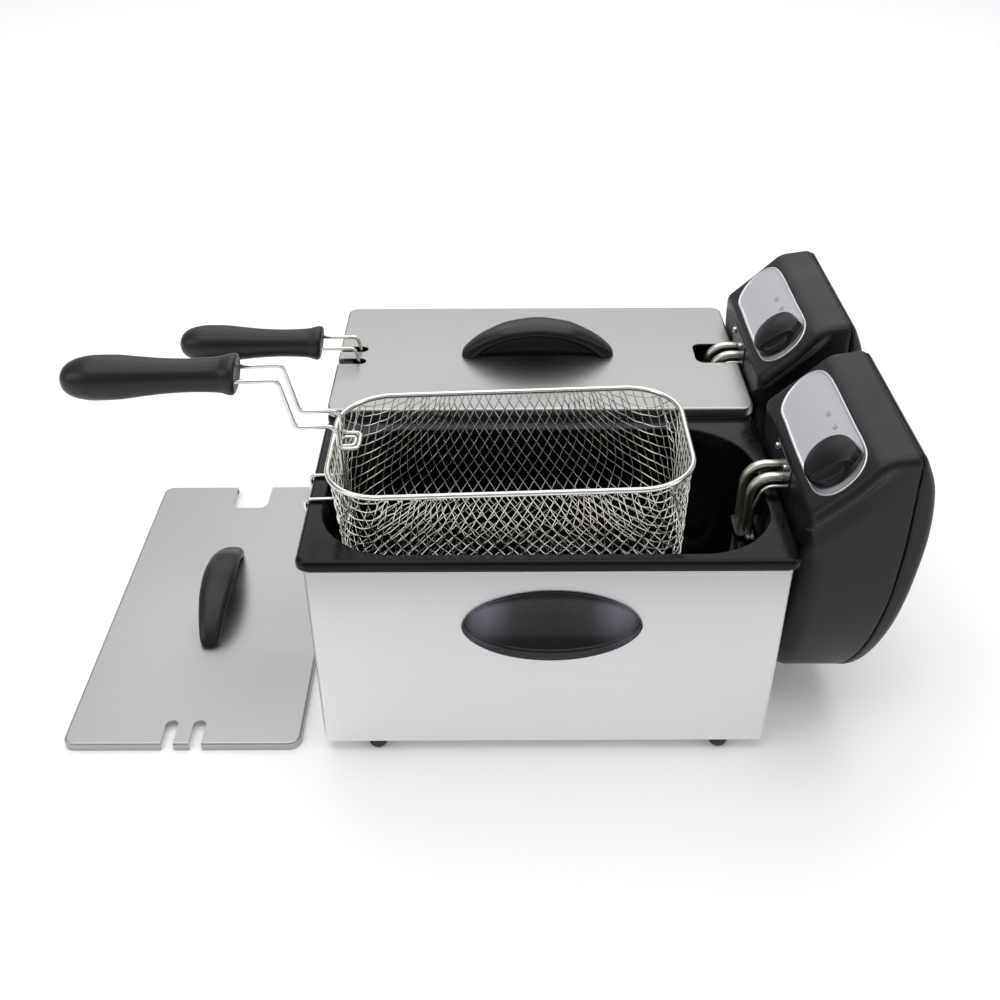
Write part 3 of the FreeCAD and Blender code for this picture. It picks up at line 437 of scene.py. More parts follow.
def form_net(dx=6.1, dy=12.0, depth=79.2, zt=-1.2, rtop=33.45, taper=3.0, rb=13.1, rf=1.5,
             steps=150, per=30, shear=0.02, bend=0.06, final=500):
    """wires that keep their length and turn freely where they cross"""
    n = 46
    i, j = np.meshgrid(np.arange(-n, n + 1), np.arange(-n, n + 1), indexing="ij")
    p = np.zeros(i.shape + (3,))
    p[..., 0] = (i - j) * dx / 2
    p[..., 1] = (i + j) * dy / 2
    p[..., 2] = zt
    d = np.hypot(np.maximum(abs(p[..., 0]) - CORE_X, 0), np.maximum(abs(p[..., 1]) - CORE_Y, 0))
    ok = d < 112.0
    L = math.hypot(dx / 2, dy / 2)
    ei = ok[1:, :] & ok[:-1, :]
    ej = ok[:, 1:] & ok[:, :-1]
    d1 = ok[1:, 1:] & ok[:-1, :-1]
    d2 = ok[1:, :-1] & ok[:-1, 1:]
    al = slice(None)
    bi = (bend * (ok[2:] & ok[:-2] & ok[1:-1]))[..., None]
    bj = (bend * (ok[:, 2:] & ok[:, :-2] & ok[:, 1:-1]))[..., None]

    def pull(s0, s1, m, rest):
        a, b = p[s0], p[s1]
        v = b - a
        l = np.sqrt((v * v).sum(-1)) + 1e-9
        v *= (0.5 * (1 - rest / l) * m)[..., None]
        p[s0] = a + v
        p[s1] = b - v

    for step in range(steps + 1):
        h = max(0.5, depth * min(1.0, (step + 1) / steps))
        for it in range(per if step < steps else final):
            for par in (0, 1):
                m = ei[par::2, :]
                k = 2 * m.shape[0]
                pull((slice(par, par + k, 2), al), (slice(par + 1, par + 1 + k, 2), al), m, L)
                m = ej[:, par::2]
                k = 2 * m.shape[1]
                pull((al, slice(par, par + k, 2)), (al, slice(par + 1, par + 1 + k, 2)), m, L)
            for s0, s1, m, rest in (((slice(0, -1), slice(0, -1)), (slice(1, None), slice(1, None)), d1, dy),
                                    ((slice(0, -1), slice(1, None)), (slice(1, None), slice(0, -1)), d2, dx)):
                v = p[s1] - p[s0]
                l = np.sqrt((v * v).sum(-1)) + 1e-9
                near = l < 3.0
                c = 0.5 * np.where(near, 0.12, shear) * (1 - np.where(near, 3.0, rest) / l) * m
                v *= c[..., None]
                p[s0] = p[s0] + v
                p[s1] = p[s1] - v
            # the wires resist sharp bends
            q = p.copy()
            q[1:-1] += bi * ((p[2:] + p[:-2]) / 2 - p[1:-1])
            q[:, 1:-1] += bj * ((p[:, 2:] + p[:, :-2]) / 2 - p[:, 1:-1])
            p = tub_project(q, h, zt, rtop, taper, rb, rf)
    return p, ok


def weave(wire_r=0.38, lift=0.36, cut=-2.4, sides=6):
    """tubes that pass over and under each other along the formed net"""
    p, ok = form_net(**{})
    n = p.shape[0]
    # normal of the surface, pointing out of the tub
    di = np.zeros_like(p)
    dj = np.zeros_like(p)
    di[1:-1] = p[2:] - p[:-2]
    dj[:, 1:-1] = p[:, 2:] - p[:, :-2]
    nn = np.cross(di, dj)
    nn /= np.linalg.norm(nn, axis=-1, keepdims=True) + 1e-9
    cx = np.clip(p[..., 0], -CORE_X * 0.7, CORE_X * 0.7)
    cy = np.clip(p[..., 1], -CORE_Y * 0.5, CORE_Y * 0.5)
    out = np.stack([p[..., 0] - cx, p[..., 1] - cy, p[..., 2] + 30.0], -1)
    nn *= np.where((nn * out).sum(-1, keepdims=True) < 0, -1, 1)
    I, J = np.meshgrid(np.arange(n), np.arange(n), indexing="ij")
    sign = np.where((I + J) % 2 == 0, 1.0, -1.0)
    verts, faces = [], []
    total = 0
    ang = np.arange(sides) * 2 * math.pi / sides
    ca, sa = np.cos(ang), np.sin(ang)

    def lay(points, normals, offs):
        nonlocal total
        c = points + normals * offs[:, None]
        mid = (c[1:] + c[:-1]) / 2
        mn = normals[1:] + normals[:-1]
        # the middle of each span lies on the curved surface, not on the chord
        q = np.empty((2 * len(c) - 1, 3))
        q[0::2], q[1::2] = c, mid
        qn = np.empty_like(q)
        qn[0::2], qn[1::2] = normals, mn
        inner = q[2:-2:2]
        if len(q) > 4:
            bend = (q[0:-4:2] + q[4::2] - 2 * q[2:-2:2]) / 16.0
            full = np.zeros((len(c), 3))
            # only the bend that comes from the surface, not from the weave
            smooth = points
            sb = np.zeros_like(full)
            sb[1:-1] = (smooth[:-2] + smooth[2:] - 2 * smooth[1:-1])
            q[1::2] -= (sb[1:] + sb[:-1]) / 16.0
        t = np.gradient(q, axis=0)
        t /= np.linalg.norm(t, axis=1, keepdims=True) + 1e-9
        qn = qn - (qn * t).sum(1, keepdims=True) * t
        qn /= np.linalg.norm(qn, axis=1, keepdims=True) + 1e-9
        bn = np.cross(t, qn)
        ring = q[:, None, :] + wire_r * (ca[None, :, None] * qn[:, None, :] + sa[None, :, None] * bn[:, None, :])
        verts.append(ring.reshape(-1, 3))
        faces.extend(skin(ring, True, True, True, total))
        total += ring.shape[0] * sides

    for family in (0, 1):
        for a in range(n):
            if family == 0:
                line, good, nor, sg = p[:, a], ok[:, a], nn[:, a], sign[:, a]
            else:
                line, good, nor, sg = p[a, :], ok[a, :], nn[a, :], -sign[a, :]
            inside = good & (line[:, 2] < cut)
            k = 0
            while k < n:
                if not inside[k]:
                    k += 1
                    continue
                e = k
                while e + 1 < n and inside[e + 1]:
                    e += 1
                if e - k >= 1:
                    pts, no, of = [line[k:e + 1]], [nor[k:e + 1]], [lift * sg[k:e + 1]]
                    for end, nxt, at in ((e, e + 1, 1), (k, k - 1, 0)):
                        if 0 <= nxt < n and good[nxt] and line[nxt, 2] > cut:
                            f = (cut - line[end, 2]) / (line[nxt, 2] - line[end, 2] + 1e-9)
                            if f > 0.15:
                                q = line[end] + f * (line[nxt] - line[end])
                                item = (q[None], nor[end][None], np.array([lift * sg[end] * (1 - 2 * f) * 0.6]))
                                if at:
                                    pts.append(item[0]); no.append(item[1]); of.append(item[2])
                                else:
                                    pts.insert(0, item[0]); no.insert(0, item[1]); of.insert(0, item[2])
                    lay(np.concatenate(pts), np.concatenate(no), np.concatenate(of))
                k = e + 1
    return np.concatenate(verts), faces


WOVEN, WOVEN_F = weave()
for n_, (deg, at) in TUBS.items():
    make(n_ + "_woven_tub", tilt(WOVEN, deg, at), WOVEN_F, n_ + "_basket", "basket_wire", [n_ + "_basket_mesh"])


# ---- bent wires of the baskets
def bent(points, radii, closed=False, step=1.2):
    """centre line with rounded bends"""
    pts = [np.array(q, float) for q in points]
    n = len(pts)
    out = []
    for i in range(n):
        if not closed and i in (0, n - 1):
            out.append(pts[i])
            continue
        p, a, b = pts[i], pts[i - 1], pts[(i + 1) % n]
        r = radii[i] if isinstance(radii, (list, tuple)) else radii
        u, v = a - p, b - p
        lu, lv = np.linalg.norm(u), np.linalg.norm(v)
        u, v = u / lu, v / lv
        half = math.acos(max(-1.0, min(1.0, float(u @ v)))) / 2
        if r <= 0 or half > 1.56:
            out.append(p)
            continue
        l = min(r / math.tan(half), 0.49 * lu, 0.49 * lv)
        r = l * math.tan(half)
        c = p + (u + v) / np.linalg.norm(u + v) * r / math.sin(half)
        s, e = p + u * l, p + v * l
        k = max(5, int(r * (math.pi - 2 * half) / step) + 2)
        a0, a1 = s - c, e - c
        om = math.pi - 2 * half
        for t in np.linspace(0, 1, k):
            out.append(c + (math.sin((1 - t) * om) * a0 + math.sin(t * om) * a1) / math.sin(om))
    return np.array(out)


def wire(path, r, closed=False, sides=14):
    n = len(path)
    t = (np.roll(path, -1, 0) - np.roll(path, 1, 0)) if closed else np.gradient(path, axis=0)
    t /= np.linalg.norm(t, axis=1, keepdims=True)
    ref = np.array([0.0, 0.0, 1.0]) if abs(t[0, 2]) < 0.9 else np.array([1.0, 0, 0])
    nv = ref - (ref @ t[0]) * t[0]
    rings = []
    a = np.arange(sides) * 2 * math.pi / sides
    for i in range(n):
        nv = nv - (nv @ t[i]) * t[i]
        nv /= np.linalg.norm(nv)
        b = np.cross(t[i], nv)
        rings.append(path[i] + r * (np.cos(a)[:, None] * nv + np.sin(a)[:, None] * b))
    if closed:
        rings.append(rings[0])
    elif n > 2:
        # rounded ends
        for at, sgn in ((0, -1), (-1, 1)):
            c = path[at]
            q = rings[at]
            extra = [c + (q - c) * k + t[at] * sgn * r * h for k, h in ((0.86, 0.4), (0.5, 0.7), (0.05, 0.8))]
            rings = (extra[::-1] + rings) if at == 0 else (rings + extra)
    R = np.array(rings)
    return R.reshape(-1, 3), skin(R, True, not closed, not closed)


def joined(parts):
    v, f, k = [], [], 0
    for a, b in parts:
        v.append(a)
        f += [tuple(j + k for j in q) for q in b]
        k += len(a)
    return np.concatenate(v), f


X_, Y_ = 112 - 1.9, 60.5 - 1.9
RIM = wire(bent([(-X_, -Y_, -1.9), (X_, -Y_, -1.9), (X_, Y_, -1.9), (-X_, Y_, -1.9)], 34.1, True), 1.75, True, 18)
ZH = -33.4
HOOKS = wire(bent([(-110, -13.3, ZH), (-129.8, -13.3, ZH), (-129.8, -13.3, ZH - 11.5), (-129.8, 13.3, ZH - 11.5),
                   (-129.8, 13.3, ZH), (-110, 13.3, ZH)], 3.2), 1.25)
XB = -104.4
BRACKET = joined([wire(bent([(XB - 0.2, -5.0, -52), (XB, -5.0, 0.6), (XB + 9.0, -5.0, 0.6), (XB + 9.0, 5.0, 0.6),
                             (XB, 5.0, 0.6), (XB - 0.2, 5.0, -52)], 2.6), 1.1),
                  wire(np.array([(XB - 0.2, y, -51.4) for y in np.linspace(-12, 12, 9)]), 1.25)])
YW = 9.25
HANDLE = wire(bent([(-176, -YW, 49.6), (-135.8, -YW, 49.6), (-129.4, -YW, 17.0), (XB, -YW, 17.0), (XB, -YW, 0.6),
                    (-92.6, -YW, 0.6), (-92.6, YW, 0.6), (XB, YW, 0.6), (XB, YW, 17.0),
                    (-129.4, YW, 17.0), (-135.8, YW, 49.6), (-176, YW, 49.6)], [0, 3.6, 4.2, 6, 4, 4, 4, 4, 6, 4.2, 3.6, 0]), 1.4)
for n_ in ("front", "rear"):
    body = n_ + "_basket"
    for piece, (v, f), places in (("rim_wire", RIM, TUBS), ("hook_wire", HOOKS, TUBS), ("bracket_wire", BRACKET, TUBS), ("handle_rods", HANDLE, BASKETS)):
        cad = {"rim_wire": "basket_rim", "hook_wire": "basket_hooks", "bracket_wire": "basket_bracket", "handle_rods": "handle_wire"}[piece]
        make(n_ + "_" + piece, tilt(v, *places[n_]), f, body, SLOT[n_ + "_" + cad], [n_ + "_" + cad])


# ---- moulded grips
def grip_rings():
    secs = [(-161.2, 11.3, 10.2), (-161.9, 12.5, 11.3), (-163.6, 13.2, 12.0), (-166.4, 12.7, 11.5), (-170.5, 11.6, 10.5),
            (-177, 10.9, 9.9), (-190, 10.6, 9.6), (-204, 11.1, 10.1), (-220, 12.7, 11.5), (-234, 14.2, 12.8),
            (-246, 14.5, 12.9), (-255, 13.2, 11.7), (-261, 10.9, 9.5), (-264.6, 7.8, 6.6), (-266.2, 4.2, 3.4)]
    xs = [-s[0] for s in secs]
    q = np.concatenate([np.linspace(161.2, 172, 16), np.linspace(174, 250, 34), np.linspace(252, 266.2, 18)])
    ry, rz = spline(xs, [s[1] for s in secs], q), spline(xs, [s[2] for s in secs], q)
    a = np.linspace(0, 2 * math.pi, 56, endpoint=False)
    rings = []
    # flat front face, slightly dished, leaning with the wires
    face = [(0.02, 0.9), (0.35, 0.8), (0.75, 0.45), (0.90, 0.1)]
    def ring(x, by, bz, lean):
        c, s = np.cos(a), np.sin(a)
        e = 2 / 2.25
        y = by * np.sign(c) * np.abs(c) ** e
        z = bz * np.sign(s) * np.abs(s) ** e
        return np.stack([x + lean * z / 11.0, y, 49.6 + z], -1)
    for k, dish in face:
        rings.append(ring(-161.2 - dish, ry[0] * k, rz[0] * k, 1.5 * k))
    for x, y_, z_ in zip(q, ry, rz):
        lean = 1.5 * max(0.0, 1 - (x - 161.2) / 12.0)
        rings.append(ring(-x, y_, z_, lean))
    rings.append(ring(-266.4, ry[-1] * 0.5, rz[-1] * 0.5, 0))
    rings.append(ring(-266.4, 0.05, 0.05, 0))
    R = np.array(rings)
    R[..., 2] = 49.6 + (R[..., 2] - 49.6) * 0.994
    return R


GR = grip_rings()
GF = skin(GR, True, True, True)
for n_, (deg, at) in BASKETS.items():
    make(n_ + "_moulded_grip", tilt(GR.reshape(-1, 3), deg, at), GF, n_ + "_basket", "grip_plastic", [n_ + "_handle_grip"])


# ---- lid handles
def handle_mesh():
    t = np.linspace(-1, 1, 61)
    # outer and inner arch, met by the same parameter
    k = np.array([-1, -0.93, -0.80, -0.62, -0.36, 0, 0.36, 0.62, 0.80, 0.93, 1])
    ox = np.array([-57, -56.4, -50.5, -38.5, -21.5, 0, 21.5, 38.5, 50.5, 56.4, 57])
    oz = np.array([0, 3.2, 10.2, 18.3, 25.1, 27.8, 25.1, 18.3, 10.2, 3.2, 0])
    ix = np.array([-43.5, -42.0, -36.5, -27.0, -14.5, 0, 14.5, 27.0, 36.5, 42.0, 43.5])
    iz = np.array([0, 1.6, 6.2, 11.6, 15.9, 17.6, 15.9, 11.6, 6.2, 1.6, 0])
    w = np.array([6.2, 7.0, 8.3, 9.9, 11.5, 12.2, 11.5, 9.9, 8.3, 7.0, 6.2])
    OX, OZ, IX, IZ, W = (spline(k, v, t) for v in (ox, oz, ix, iz, w))
    a = np.linspace(0, 2 * math.pi, 44, endpoint=False)
    rings = []
    for m in range(len(t)):
        mx, mz = (OX[m] + IX[m]) / 2, (OZ[m] + IZ[m]) / 2
        hx, hz = (OX[m] - IX[m]) / 2, (OZ[m] - IZ[m]) / 2
        s, c = np.sin(a), np.cos(a)
        # domed on top, flatter and narrower below
        u = np.sign(s) * np.abs(s) ** 0.86
        width = W[m] * np.where(s > 0, 1.0, 1.0 - 0.42 * np.abs(s) ** 1.5)
        y = width * np.sign(c) * np.abs(c) ** 0.72
        rings.append(np.stack([mx + hx * u, y, np.maximum(mz + hz * u, 0.0)], -1))
    rings = np.array(rings)
    v = rings.reshape(-1, 3)
    f = skin(rings, True, True, True)
    # web under the arch
    base = len(v)
    tt = np.linspace(-0.985, 0.985, 41)
    WX, WZ = spline(k, ix, tt), spline(k, iz, tt) + 1.0
    web = []
    for x, z in zip(WX, WZ):
        web.append([(x, -1.8, 0.0), (x, -1.8, z * 0.5), (x, -2.2, z), (x, 2.2, z), (x, 1.8, z * 0.5), (x, 1.8, 0.0)])
    web = np.array(web)
    f = f + skin(web, True, True, True, base)
    return np.concatenate([v, web.reshape(-1, 3)]), f


HV, HF = handle_mesh()
hr = HV + np.array([0, 80.8, 160.05 + 6.25])
make("rear_arched_handle", hr, HF, "rear_lid", "grip_plastic", ["rear_lid_handle"])
hf = np.stack([-HV[:, 1], HV[:, 0], HV[:, 2]], -1) + np.array([-242.3, -9.3, -2 + 6.25])
make("front_arched_handle", hf, HF, "front_lid", "grip_plastic", ["front_lid_handle"])


# ---- grip cups
def cup_mesh(side):
    a = np.linspace(0, 2 * math.pi, 112, endpoint=False)
    c, s = np.cos(a), np.sin(a)
    lx = c
    lz = np.sign(s) * np.abs(s) ** 1.12

    def ring(ax, az, dz, y):
        return np.stack([2.9 + ax * lx, np.full_like(a, y), 109 + dz + az * lz], -1)
    A, B = 55.5, 27.7
    rings = [ring(A - 2.2, B - 2.2, 0, -158.4), ring(A - 1.9, B - 1.9, 0, -160.1), ring(A, B, 0, -160.25), ring(A, B, 0, -161.3),
             ring(A - 0.2, B - 0.2, 0, -161.75), ring(A - 0.6, B - 0.6, 0, -162.0), ring(A - 1.2, B - 1.2, 0.05, -162.15)]
    # broad lip at the bottom that dies out towards the top
    for k, y in ((0.3, -162.35), (0.7, -162.6), (0.86, -162.72), (0.93, -162.78), (0.98, -162.7), (1.0, -162.4)):
        rings.append(ring(A - 1.5 - 0.5 * k, B - 1.5 - 3.2 * k, 0.05 + 3.05 * k, y))
    ai, bi, dz = A - 2.0, B - 4.7, 3.1
    radii = (0.985, 0.95, 0.90, 0.83, 0.75, 0.66, 0.56, 0.45, 0.34, 0.22, 0.11, 0.0)
    for r in radii:
        y = -161.2 + 7.0 * (1 - r ** 2.0) ** 0.8
        rings.append(ring(ai * r, bi * r, dz - 1.0 * (1 - r), y))
    # the back of the moulding, 0.9 mm behind the bowl
    for r in reversed(radii):
        y = -160.3 + 7.0 * (1 - r ** 2.0) ** 0.8
        rings.append(ring(ai * r, bi * r, dz - 1.0 * (1 - r), y))
    rings.append(ring(A - 3.0, B - 3.6, 0.9, -159.6))
    rings.append(ring(A - 3.0, B - 3.2, 0.2, -158.4))
    rings.append(ring(A - 2.2, B - 2.2, 0, -158.4))
    R = np.array(rings)
    if side == "rear":
        R[..., 1] *= -1
    v = R.reshape(-1, 3)
    f = skin(R, True, False, False)
    if side == "rear":
        f = [tuple(reversed(q)) for q in f]
    return v, f


for side in ("front", "rear"):
    v, f = cup_mesh(side)
    make(side + "_scoop_cup", v, f, "cabinet", "cup_plastic", [side + "_grip_cup"])


# ---- knobs
SLOPE = math.radians(43.3)
TX, TZ, NX, NZ = math.cos(SLOPE), math.sin(SLOPE), -math.sin(SLOPE), math.cos(SLOPE)


# ---- heads: one smooth moulded body, split along a curved parting line
def poly_sdf(px, pz, poly):
    """signed distance to a closed polygon, inside negative"""
    n = len(poly)
    d = np.full(np.broadcast(px, pz).shape, 1e18)
    s = np.ones_like(d)
    for i in range(n):
        a, b = poly[i], poly[i - 1]
        ex, ez = b[0] - a[0], b[1] - a[1]
        wx, wz = px - a[0], pz - a[1]
        t = np.clip((wx * ex + wz * ez) / (ex * ex + ez * ez), 0, 1)
        bx, bz = wx - ex * t, wz - ez * t
        d = np.minimum(d, bx * bx + bz * bz)
        c1, c2, c3 = pz >= a[1], pz < b[1], ex * wz > ez * wx
        flip = (c1 & c2 & c3) | (~c1 & ~c2 & ~c3)
        s = np.where(flip, -s, s)
    return s * np.sqrt(d)


def fillet(poly, radii, k=7):
    out = []
    n = len(poly)
    for i in range(n):
        p, a, b = np.array(poly[i], float), np.array(poly[i - 1], float), np.array(poly[(i + 1) % n], float)
        r = radii[i]
        if r <= 0:
            out.append(tuple(p))
            continue
        u, v = (a - p) / np.linalg.norm(a - p), (b - p) / np.linalg.norm(b - p)
        half = math.acos(max(-1, min(1, float(u @ v)))) / 2
        l = r / math.tan(half)
        c = p + (u + v) / np.linalg.norm(u + v) * r / math.sin(half)
        s, e = p + u * l, p + v * l
        for q in np.linspace(0, 1, k):
            m = s * (1 - q) + e * q - c
            out.append(tuple(c + m / np.linalg.norm(m) * r))
    return out


HEAD_POLY = fillet([(150.8, 10), (150.8, 186), (187.6, 220.6), (212, 224), (221.8, 203.4), (225.2, 183), (226.15, 160), (223.7, 129),
                    (220.3, 94), (215.9, 64), (211, 34), (206.5, 10)], [7, 7, 13, 8, 60, 160, 190, 1500, 470, 1500, 700, 9])


def smooth(t):
    t = np.clip(t, 0, 1)
    return t * t * (3 - 2 * t)


def head_sdf(X, Y, Z):
    a = poly_sdf(X, Z, HEAD_POLY)
    u = -((X - 154.6) * NX + (Z - 189.5) * NZ)
    hood = 73.0 - 8.2 * smooth((u - 6.0) / 8.0) + 2.2 * smooth((u - 14.0) / 13.0)
    fade = smooth((X - 172.0) / 30.0)
    near = hood * (1 - fade) + 67.2 * fade
    yy = Y + 82.0137
    w = np.where(yy < 0, near, 64.5)
    q = yy / w
    e = np.minimum(Z - 136.0, 0) / 118.0
    f = np.sqrt(q * q + e * e)
    g = np.sqrt((q / w) ** 2 + (e / 118.0) ** 2) + 1e-9
    b = (f - 1) * f / g
    low = smooth((174.0 - Z) / 34.0)
    left = smooth((185.0 - X) / 30.0)
    r = 7.0 - 1.2 * fade + 13.0 * low * left
    ar, br = np.maximum(a + r, 0), np.maximum(b + r, 0)
    return np.minimum(np.maximum(a, b), -r) + np.sqrt(ar * ar + br * br)


def part_x(Z):
    return spline([0, 10, 34, 64, 94, 129, 160, 200, 240], [197.0, 198.5, 202.0, 206.0, 209.2, 211.8, 212.8, 211.6, 210.5], np.clip(Z, 0, 240))


def rmax(a, b, r):
    ar, br = np.maximum(a + r, 0), np.maximum(b + r, 0)
    return np.minimum(np.maximum(a, b), -r) + np.sqrt(ar * ar + br * br)


def shell_sdf(X, Y, Z):
    return rmax(head_sdf(X, Y, Z), X - (part_x(Z) - 0.5), 0.6)


def cover_sdf(X, Y, Z):
    d = rmax(head_sdf(X, Y, Z) - 0.2, (part_x(Z) + 0.1) - X, 0.7)
    for y, z in ((-134.0, 192.0), (-30.0, 192.0), (-132.0, 112.0), (-32.0, 112.0)):
        c = np.sqrt((Y - y) ** 2 + (Z - z) ** 2) - 3.6
        d = rmax(d, -np.maximum(c, 215.0 - X), 0.4)
    return d


def surface(fn, lo, hi, h):
    """mesh of the zero level of fn, by surface nets, pulled onto the surface"""
    ax = [np.arange(l, u + h, h) for l, u in zip(lo, hi)]
    D = fn(ax[0][:, None, None], ax[1][None, :, None], ax[2][None, None, :])
    D = np.broadcast_to(D, tuple(len(a) for a in ax))
    neg = D < 0
    nx, ny, nz = D.shape
    cnt = np.zeros((nx - 1, ny - 1, nz - 1))
    acc = np.zeros((nx - 1, ny - 1, nz - 1, 3))
    for axis in range(3):
        o = [(i, j) for i in (0, 1) for j in (0, 1)]
        for i, j in o:
            sl = [None] * 3
            others = [k for k in range(3) if k != axis]
            sl[others[0]] = slice(i, D.shape[others[0]] - 1 + i)
            sl[others[1]] = slice(j, D.shape[others[1]] - 1 + j)
            sl[axis] = slice(0, D.shape[axis] - 1)
            A = D[tuple(sl)]
            sl[axis] = slice(1, D.shape[axis])
            B = D[tuple(sl)]
            m = (A < 0) != (B < 0)
            t = np.where(m, A / np.where(m, A - B, 1), 0)
            cnt += m
            acc[..., axis] += t * m
            acc[..., others[0]] += i * m
            acc[..., others[1]] += j * m
    has = cnt > 0
    idx = -np.ones(cnt.shape, int)
    idx[has] = np.arange(has.sum())
    I = np.argwhere(has)
    V = np.array(lo, float) + (I + acc[has] / cnt[has][:, None]) * h
    for _ in range(3):
        f = fn(V[:, 0], V[:, 1], V[:, 2])
        g = np.stack([(fn(V[:, 0] + (k == 0) * 0.05, V[:, 1] + (k == 1) * 0.05, V[:, 2] + (k == 2) * 0.05) - f) / 0.05 for k in range(3)], -1)
        n2 = (g * g).sum(-1) + 1e-6
        stepv = np.clip(f / n2, -0.4 * h, 0.4 * h)
        V = V - g * stepv[:, None]
    F = []
    for axis in range(3):
        b, c = [k for k in range(3) if k != axis]
        sl0, sl1 = [slice(1, -1)] * 3, [slice(1, -1)] * 3
        sl0[axis], sl1[axis] = slice(0, -1), slice(1, None)
        A, B = neg[tuple(sl0)], neg[tuple(sl1)]
        e = np.argwhere(A != B)
        if not len(e):
            continue
        inside = A[tuple(e.T)]
        base = e.copy()
        base[:, b] += 1
        base[:, c] += 1
        def cell(db, dc):
            q = base.copy()
            q[:, b] -= db
            q[:, c] -= dc
            return idx[tuple(q.T)]
        q = np.stack([cell(1, 1), cell(0, 1), cell(0, 0), cell(1, 0)], -1)
        flip = inside if axis != 1 else ~inside
        q = np.where(flip[:, None], q, q[:, ::-1])
        F.append(q)
    F = np.concatenate(F)
    return V, [tuple(int(k) for k in f) for f in F]


HH = 1.5
SV, SF = surface(shell_sdf, (147, -160, 6), (216, -14, 229), HH)
CV, CF = surface(cover_sdf, (186, -160, 6), (230, -14, 229), HH)
for n_, dy in (("front", 0.0), ("rear", PITCH)):
    make(n_ + "_hood", SV + np.array([0, dy, 0]), SF, n_ + "_head", "head_plastic", [n_ + "_shell"])
    make(n_ + "_rear_cover", CV + np.array([0, dy, 0]), CF, n_ + "_head", "head_plastic", [n_ + "_back_cover"])


# ---- silver fascia: a thin plate with arched ends and a fine raised border
FAS = [(0.6, -58), (1.0, -43.0), (4.9, -34.8), (13.0, -27.7), (22.6, -24.8), (31.3, -27.0), (36.8, -33.3), (39.4, -43.5), (40.2, -58),
       (40.3, -80), (40.4, -104), (40.6, -124), (39.5, -133.2), (35.8, -141.0), (29.6, -146.5), (21.9, -148.9), (13.8, -148.4),
       (6.8, -144.2), (2.3, -136.6), (0.8, -124), (0.4, -104), (0.3, -80)]


def closed_curve(pts, per=8):
    p = np.array(pts, float)
    out = []
    n = len(p)
    for i in range(n):
        a, b, c, d = p[i - 1], p[i], p[(i + 1) % n], p[(i + 2) % n]
        # centripetal Catmull-Rom
        t0 = 0.0
        t1 = t0 + np.linalg.norm(b - a) ** 0.5
        t2 = t1 + np.linalg.norm(c - b) ** 0.5
        t3 = t2 + np.linalg.norm(d - c) ** 0.5
        for t in np.linspace(t1, t2, per, endpoint=False):
            A1 = (t1 - t) / (t1 - t0) * a + (t - t0) / (t1 - t0) * b
            A2 = (t2 - t) / (t2 - t1) * b + (t - t1) / (t2 - t1) * c
            A3 = (t3 - t) / (t3 - t2) * c + (t - t2) / (t3 - t2) * d
            B1 = (t2 - t) / (t2 - t0) * A1 + (t - t0) / (t2 - t0) * A2
            B2 = (t3 - t) / (t3 - t1) * A2 + (t - t1) / (t3 - t1) * A3
            out.append((t2 - t) / (t2 - t1) * B1 + (t - t1) / (t2 - t1) * B2)
    return np.array(out)


def on_plate(s, y, h):
    return np.stack([154.6 + s * TX + h * NX, y, 189.5 + s * TZ + h * NZ], -1)


def fascia_mesh():
    c = closed_curve(FAS)
    t = np.roll(c, -1, 0) - np.roll(c, 1, 0)
    t /= np.linalg.norm(t, axis=1, keepdims=True)
    nrm = np.stack([-t[:, 1], t[:, 0]], -1)          # points inward for this winding
    mid = c.mean(0)
    if ((mid - c) * nrm).sum() < 0:
        nrm = -nrm
    rings = []
    for inset, h in ((0.0, -0.9), (0.0, 0.35), (0.12, 0.62), (0.4, 0.75), (1.1, 0.75), (1.35, 0.62), (1.6, 0.45), (2.2, 0.42)):
        q = c + nrm * inset
        rings.append(on_plate(q[:, 0], q[:, 1], np.full(len(q), h)))
    q0 = c + nrm * 2.2
    # shrink towards the spine of the plate
    spine = np.stack([np.full(len(q0), 20.4), np.clip(q0[:, 1], -128, -44)], -1)
    for k in (0.75, 0.5, 0.25, 0.004):
        q = spine + (q0 - spine) * k
        rings.append(on_plate(q[:, 0], q[:, 1], np.full(len(q), 0.42)))
    R = np.array(rings)
    return R.reshape(-1, 3), skin(R, True, True, True)


FV, FF = fascia_mesh()
for n_, dy in (("front", 0.0), ("rear", PITCH)):
    make(n_ + "_silver_panel", FV + np.array([0, dy, 0]), FF, n_ + "_head", "fascia_silver", [n_ + "_fascia"])


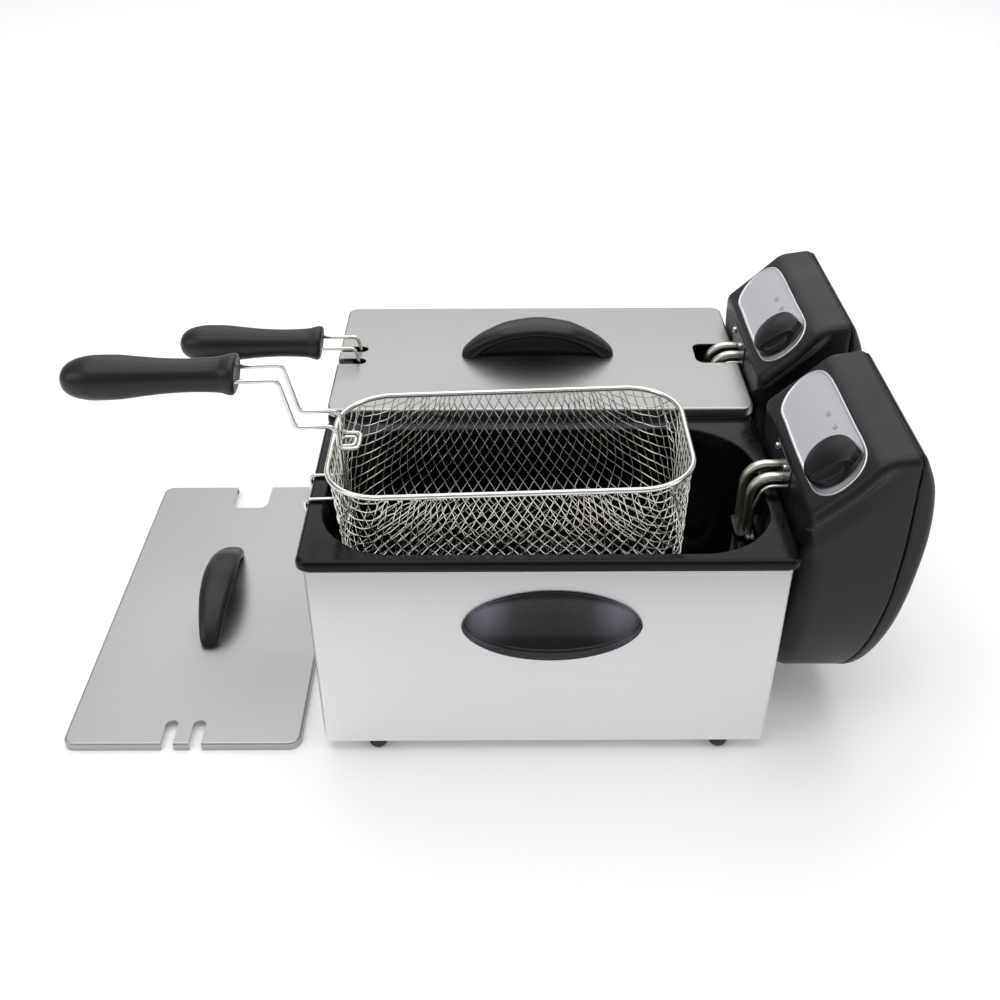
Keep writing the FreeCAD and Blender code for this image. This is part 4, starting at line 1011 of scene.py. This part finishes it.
def knob_mesh(dy):
    """domed D with a straight grip edge and a leaning dished face below it"""
    R0, z1 = 16.8, 1.1

    def half(y):
        return np.sqrt(np.maximum(R0 * R0 - y * y, 0))
    ys = np.concatenate([-R0 + (1 - np.cos(np.linspace(0.03, math.pi / 2, 12))) * 5.6, [-10.9, -10.65, -10.45, -10.2, -9.7],
                         np.linspace(-8.8, 9, 24), 9 + np.sin(np.linspace(0.08, math.pi / 2 - 0.03, 14)) * (R0 - 9)])
    ss = np.sin(np.linspace(-math.pi / 2, math.pi / 2, 41))
    rows = []
    for y in ys:
        w = half(np.array([y]))[0]
        x = ss * w
        # soft point to the right
        bump = 2.2 * math.exp(-((y + 4.0) / 5.0) ** 2)
        x = x + np.where(ss > 0, bump * ss ** 3, 0)
        far = 10.9 - 0.009 * (x * x + (y - 3.0) ** 2)
        r = np.sqrt(x * x + y * y)
        near = 2.6 + 0.9 * np.exp(-((r - 16.0) / 1.2) ** 2)
        t = np.clip((y + 16.0) / 5.5, 0, 1) ** 1.35
        z = near + (far - near) * t
        z = z + 0.35 * math.exp(-((y + 10.6) / 0.4) ** 2)
        edge = 1 - np.minimum(R0 - np.minimum(np.sqrt((ss * w) ** 2 + y * y), R0), 2.2) / 2.2
        z = z - (1.7 if y > -10.45 else 0.9) * (1 - np.sqrt(np.maximum(0, 1 - edge ** 2)))
        rows.append(np.stack([x, np.full_like(x, y), z], -1))
    R = np.array(rows)
    n, k = R.shape[:2]
    f = skin(R, False)
    loop = [(0, j) for j in range(k)] + [(i, k - 1) for i in range(1, n)] + [(n - 1, j) for j in range(k - 2, -1, -1)] + [(i, 0) for i in range(n - 2, 0, -1)]
    top = [i * k + j for i, j in loop]
    v = R.reshape(-1, 3)
    edge = v[top]
    c = edge.copy()
    c[:, :2] *= 1.022
    c[:, 2] = z1 + (c[:, 2] - z1) * 0.5
    d = edge.copy()
    d[:, :2] *= 1.034
    d[:, 2] = z1
    base = len(v)
    v = np.concatenate([v, c, d])
    m = len(top)
    for i in range(m):
        j = (i + 1) % m
        f.append((top[j], top[i], base + i, base + j))
        f.append((base + j, base + i, base + m + i, base + m + j))
    f.append(tuple(base + m + i for i in range(m)))
    t = math.radians(-13.0)
    x = v[:, 0] * math.cos(t) - v[:, 1] * math.sin(t)
    y = v[:, 0] * math.sin(t) + v[:, 1] * math.cos(t)
    out = on_plate(19.5 + x, -125.0 + y, v[:, 2])
    out[:, 1] += dy
    return out, f


for n_, dy in (("front", 0.0), ("rear", PITCH)):
    v, f = knob_mesh(dy)
    make(n_ + "_moulded_knob", v, f, n_ + "_knob", "knob_plastic", [n_ + "_knob"])
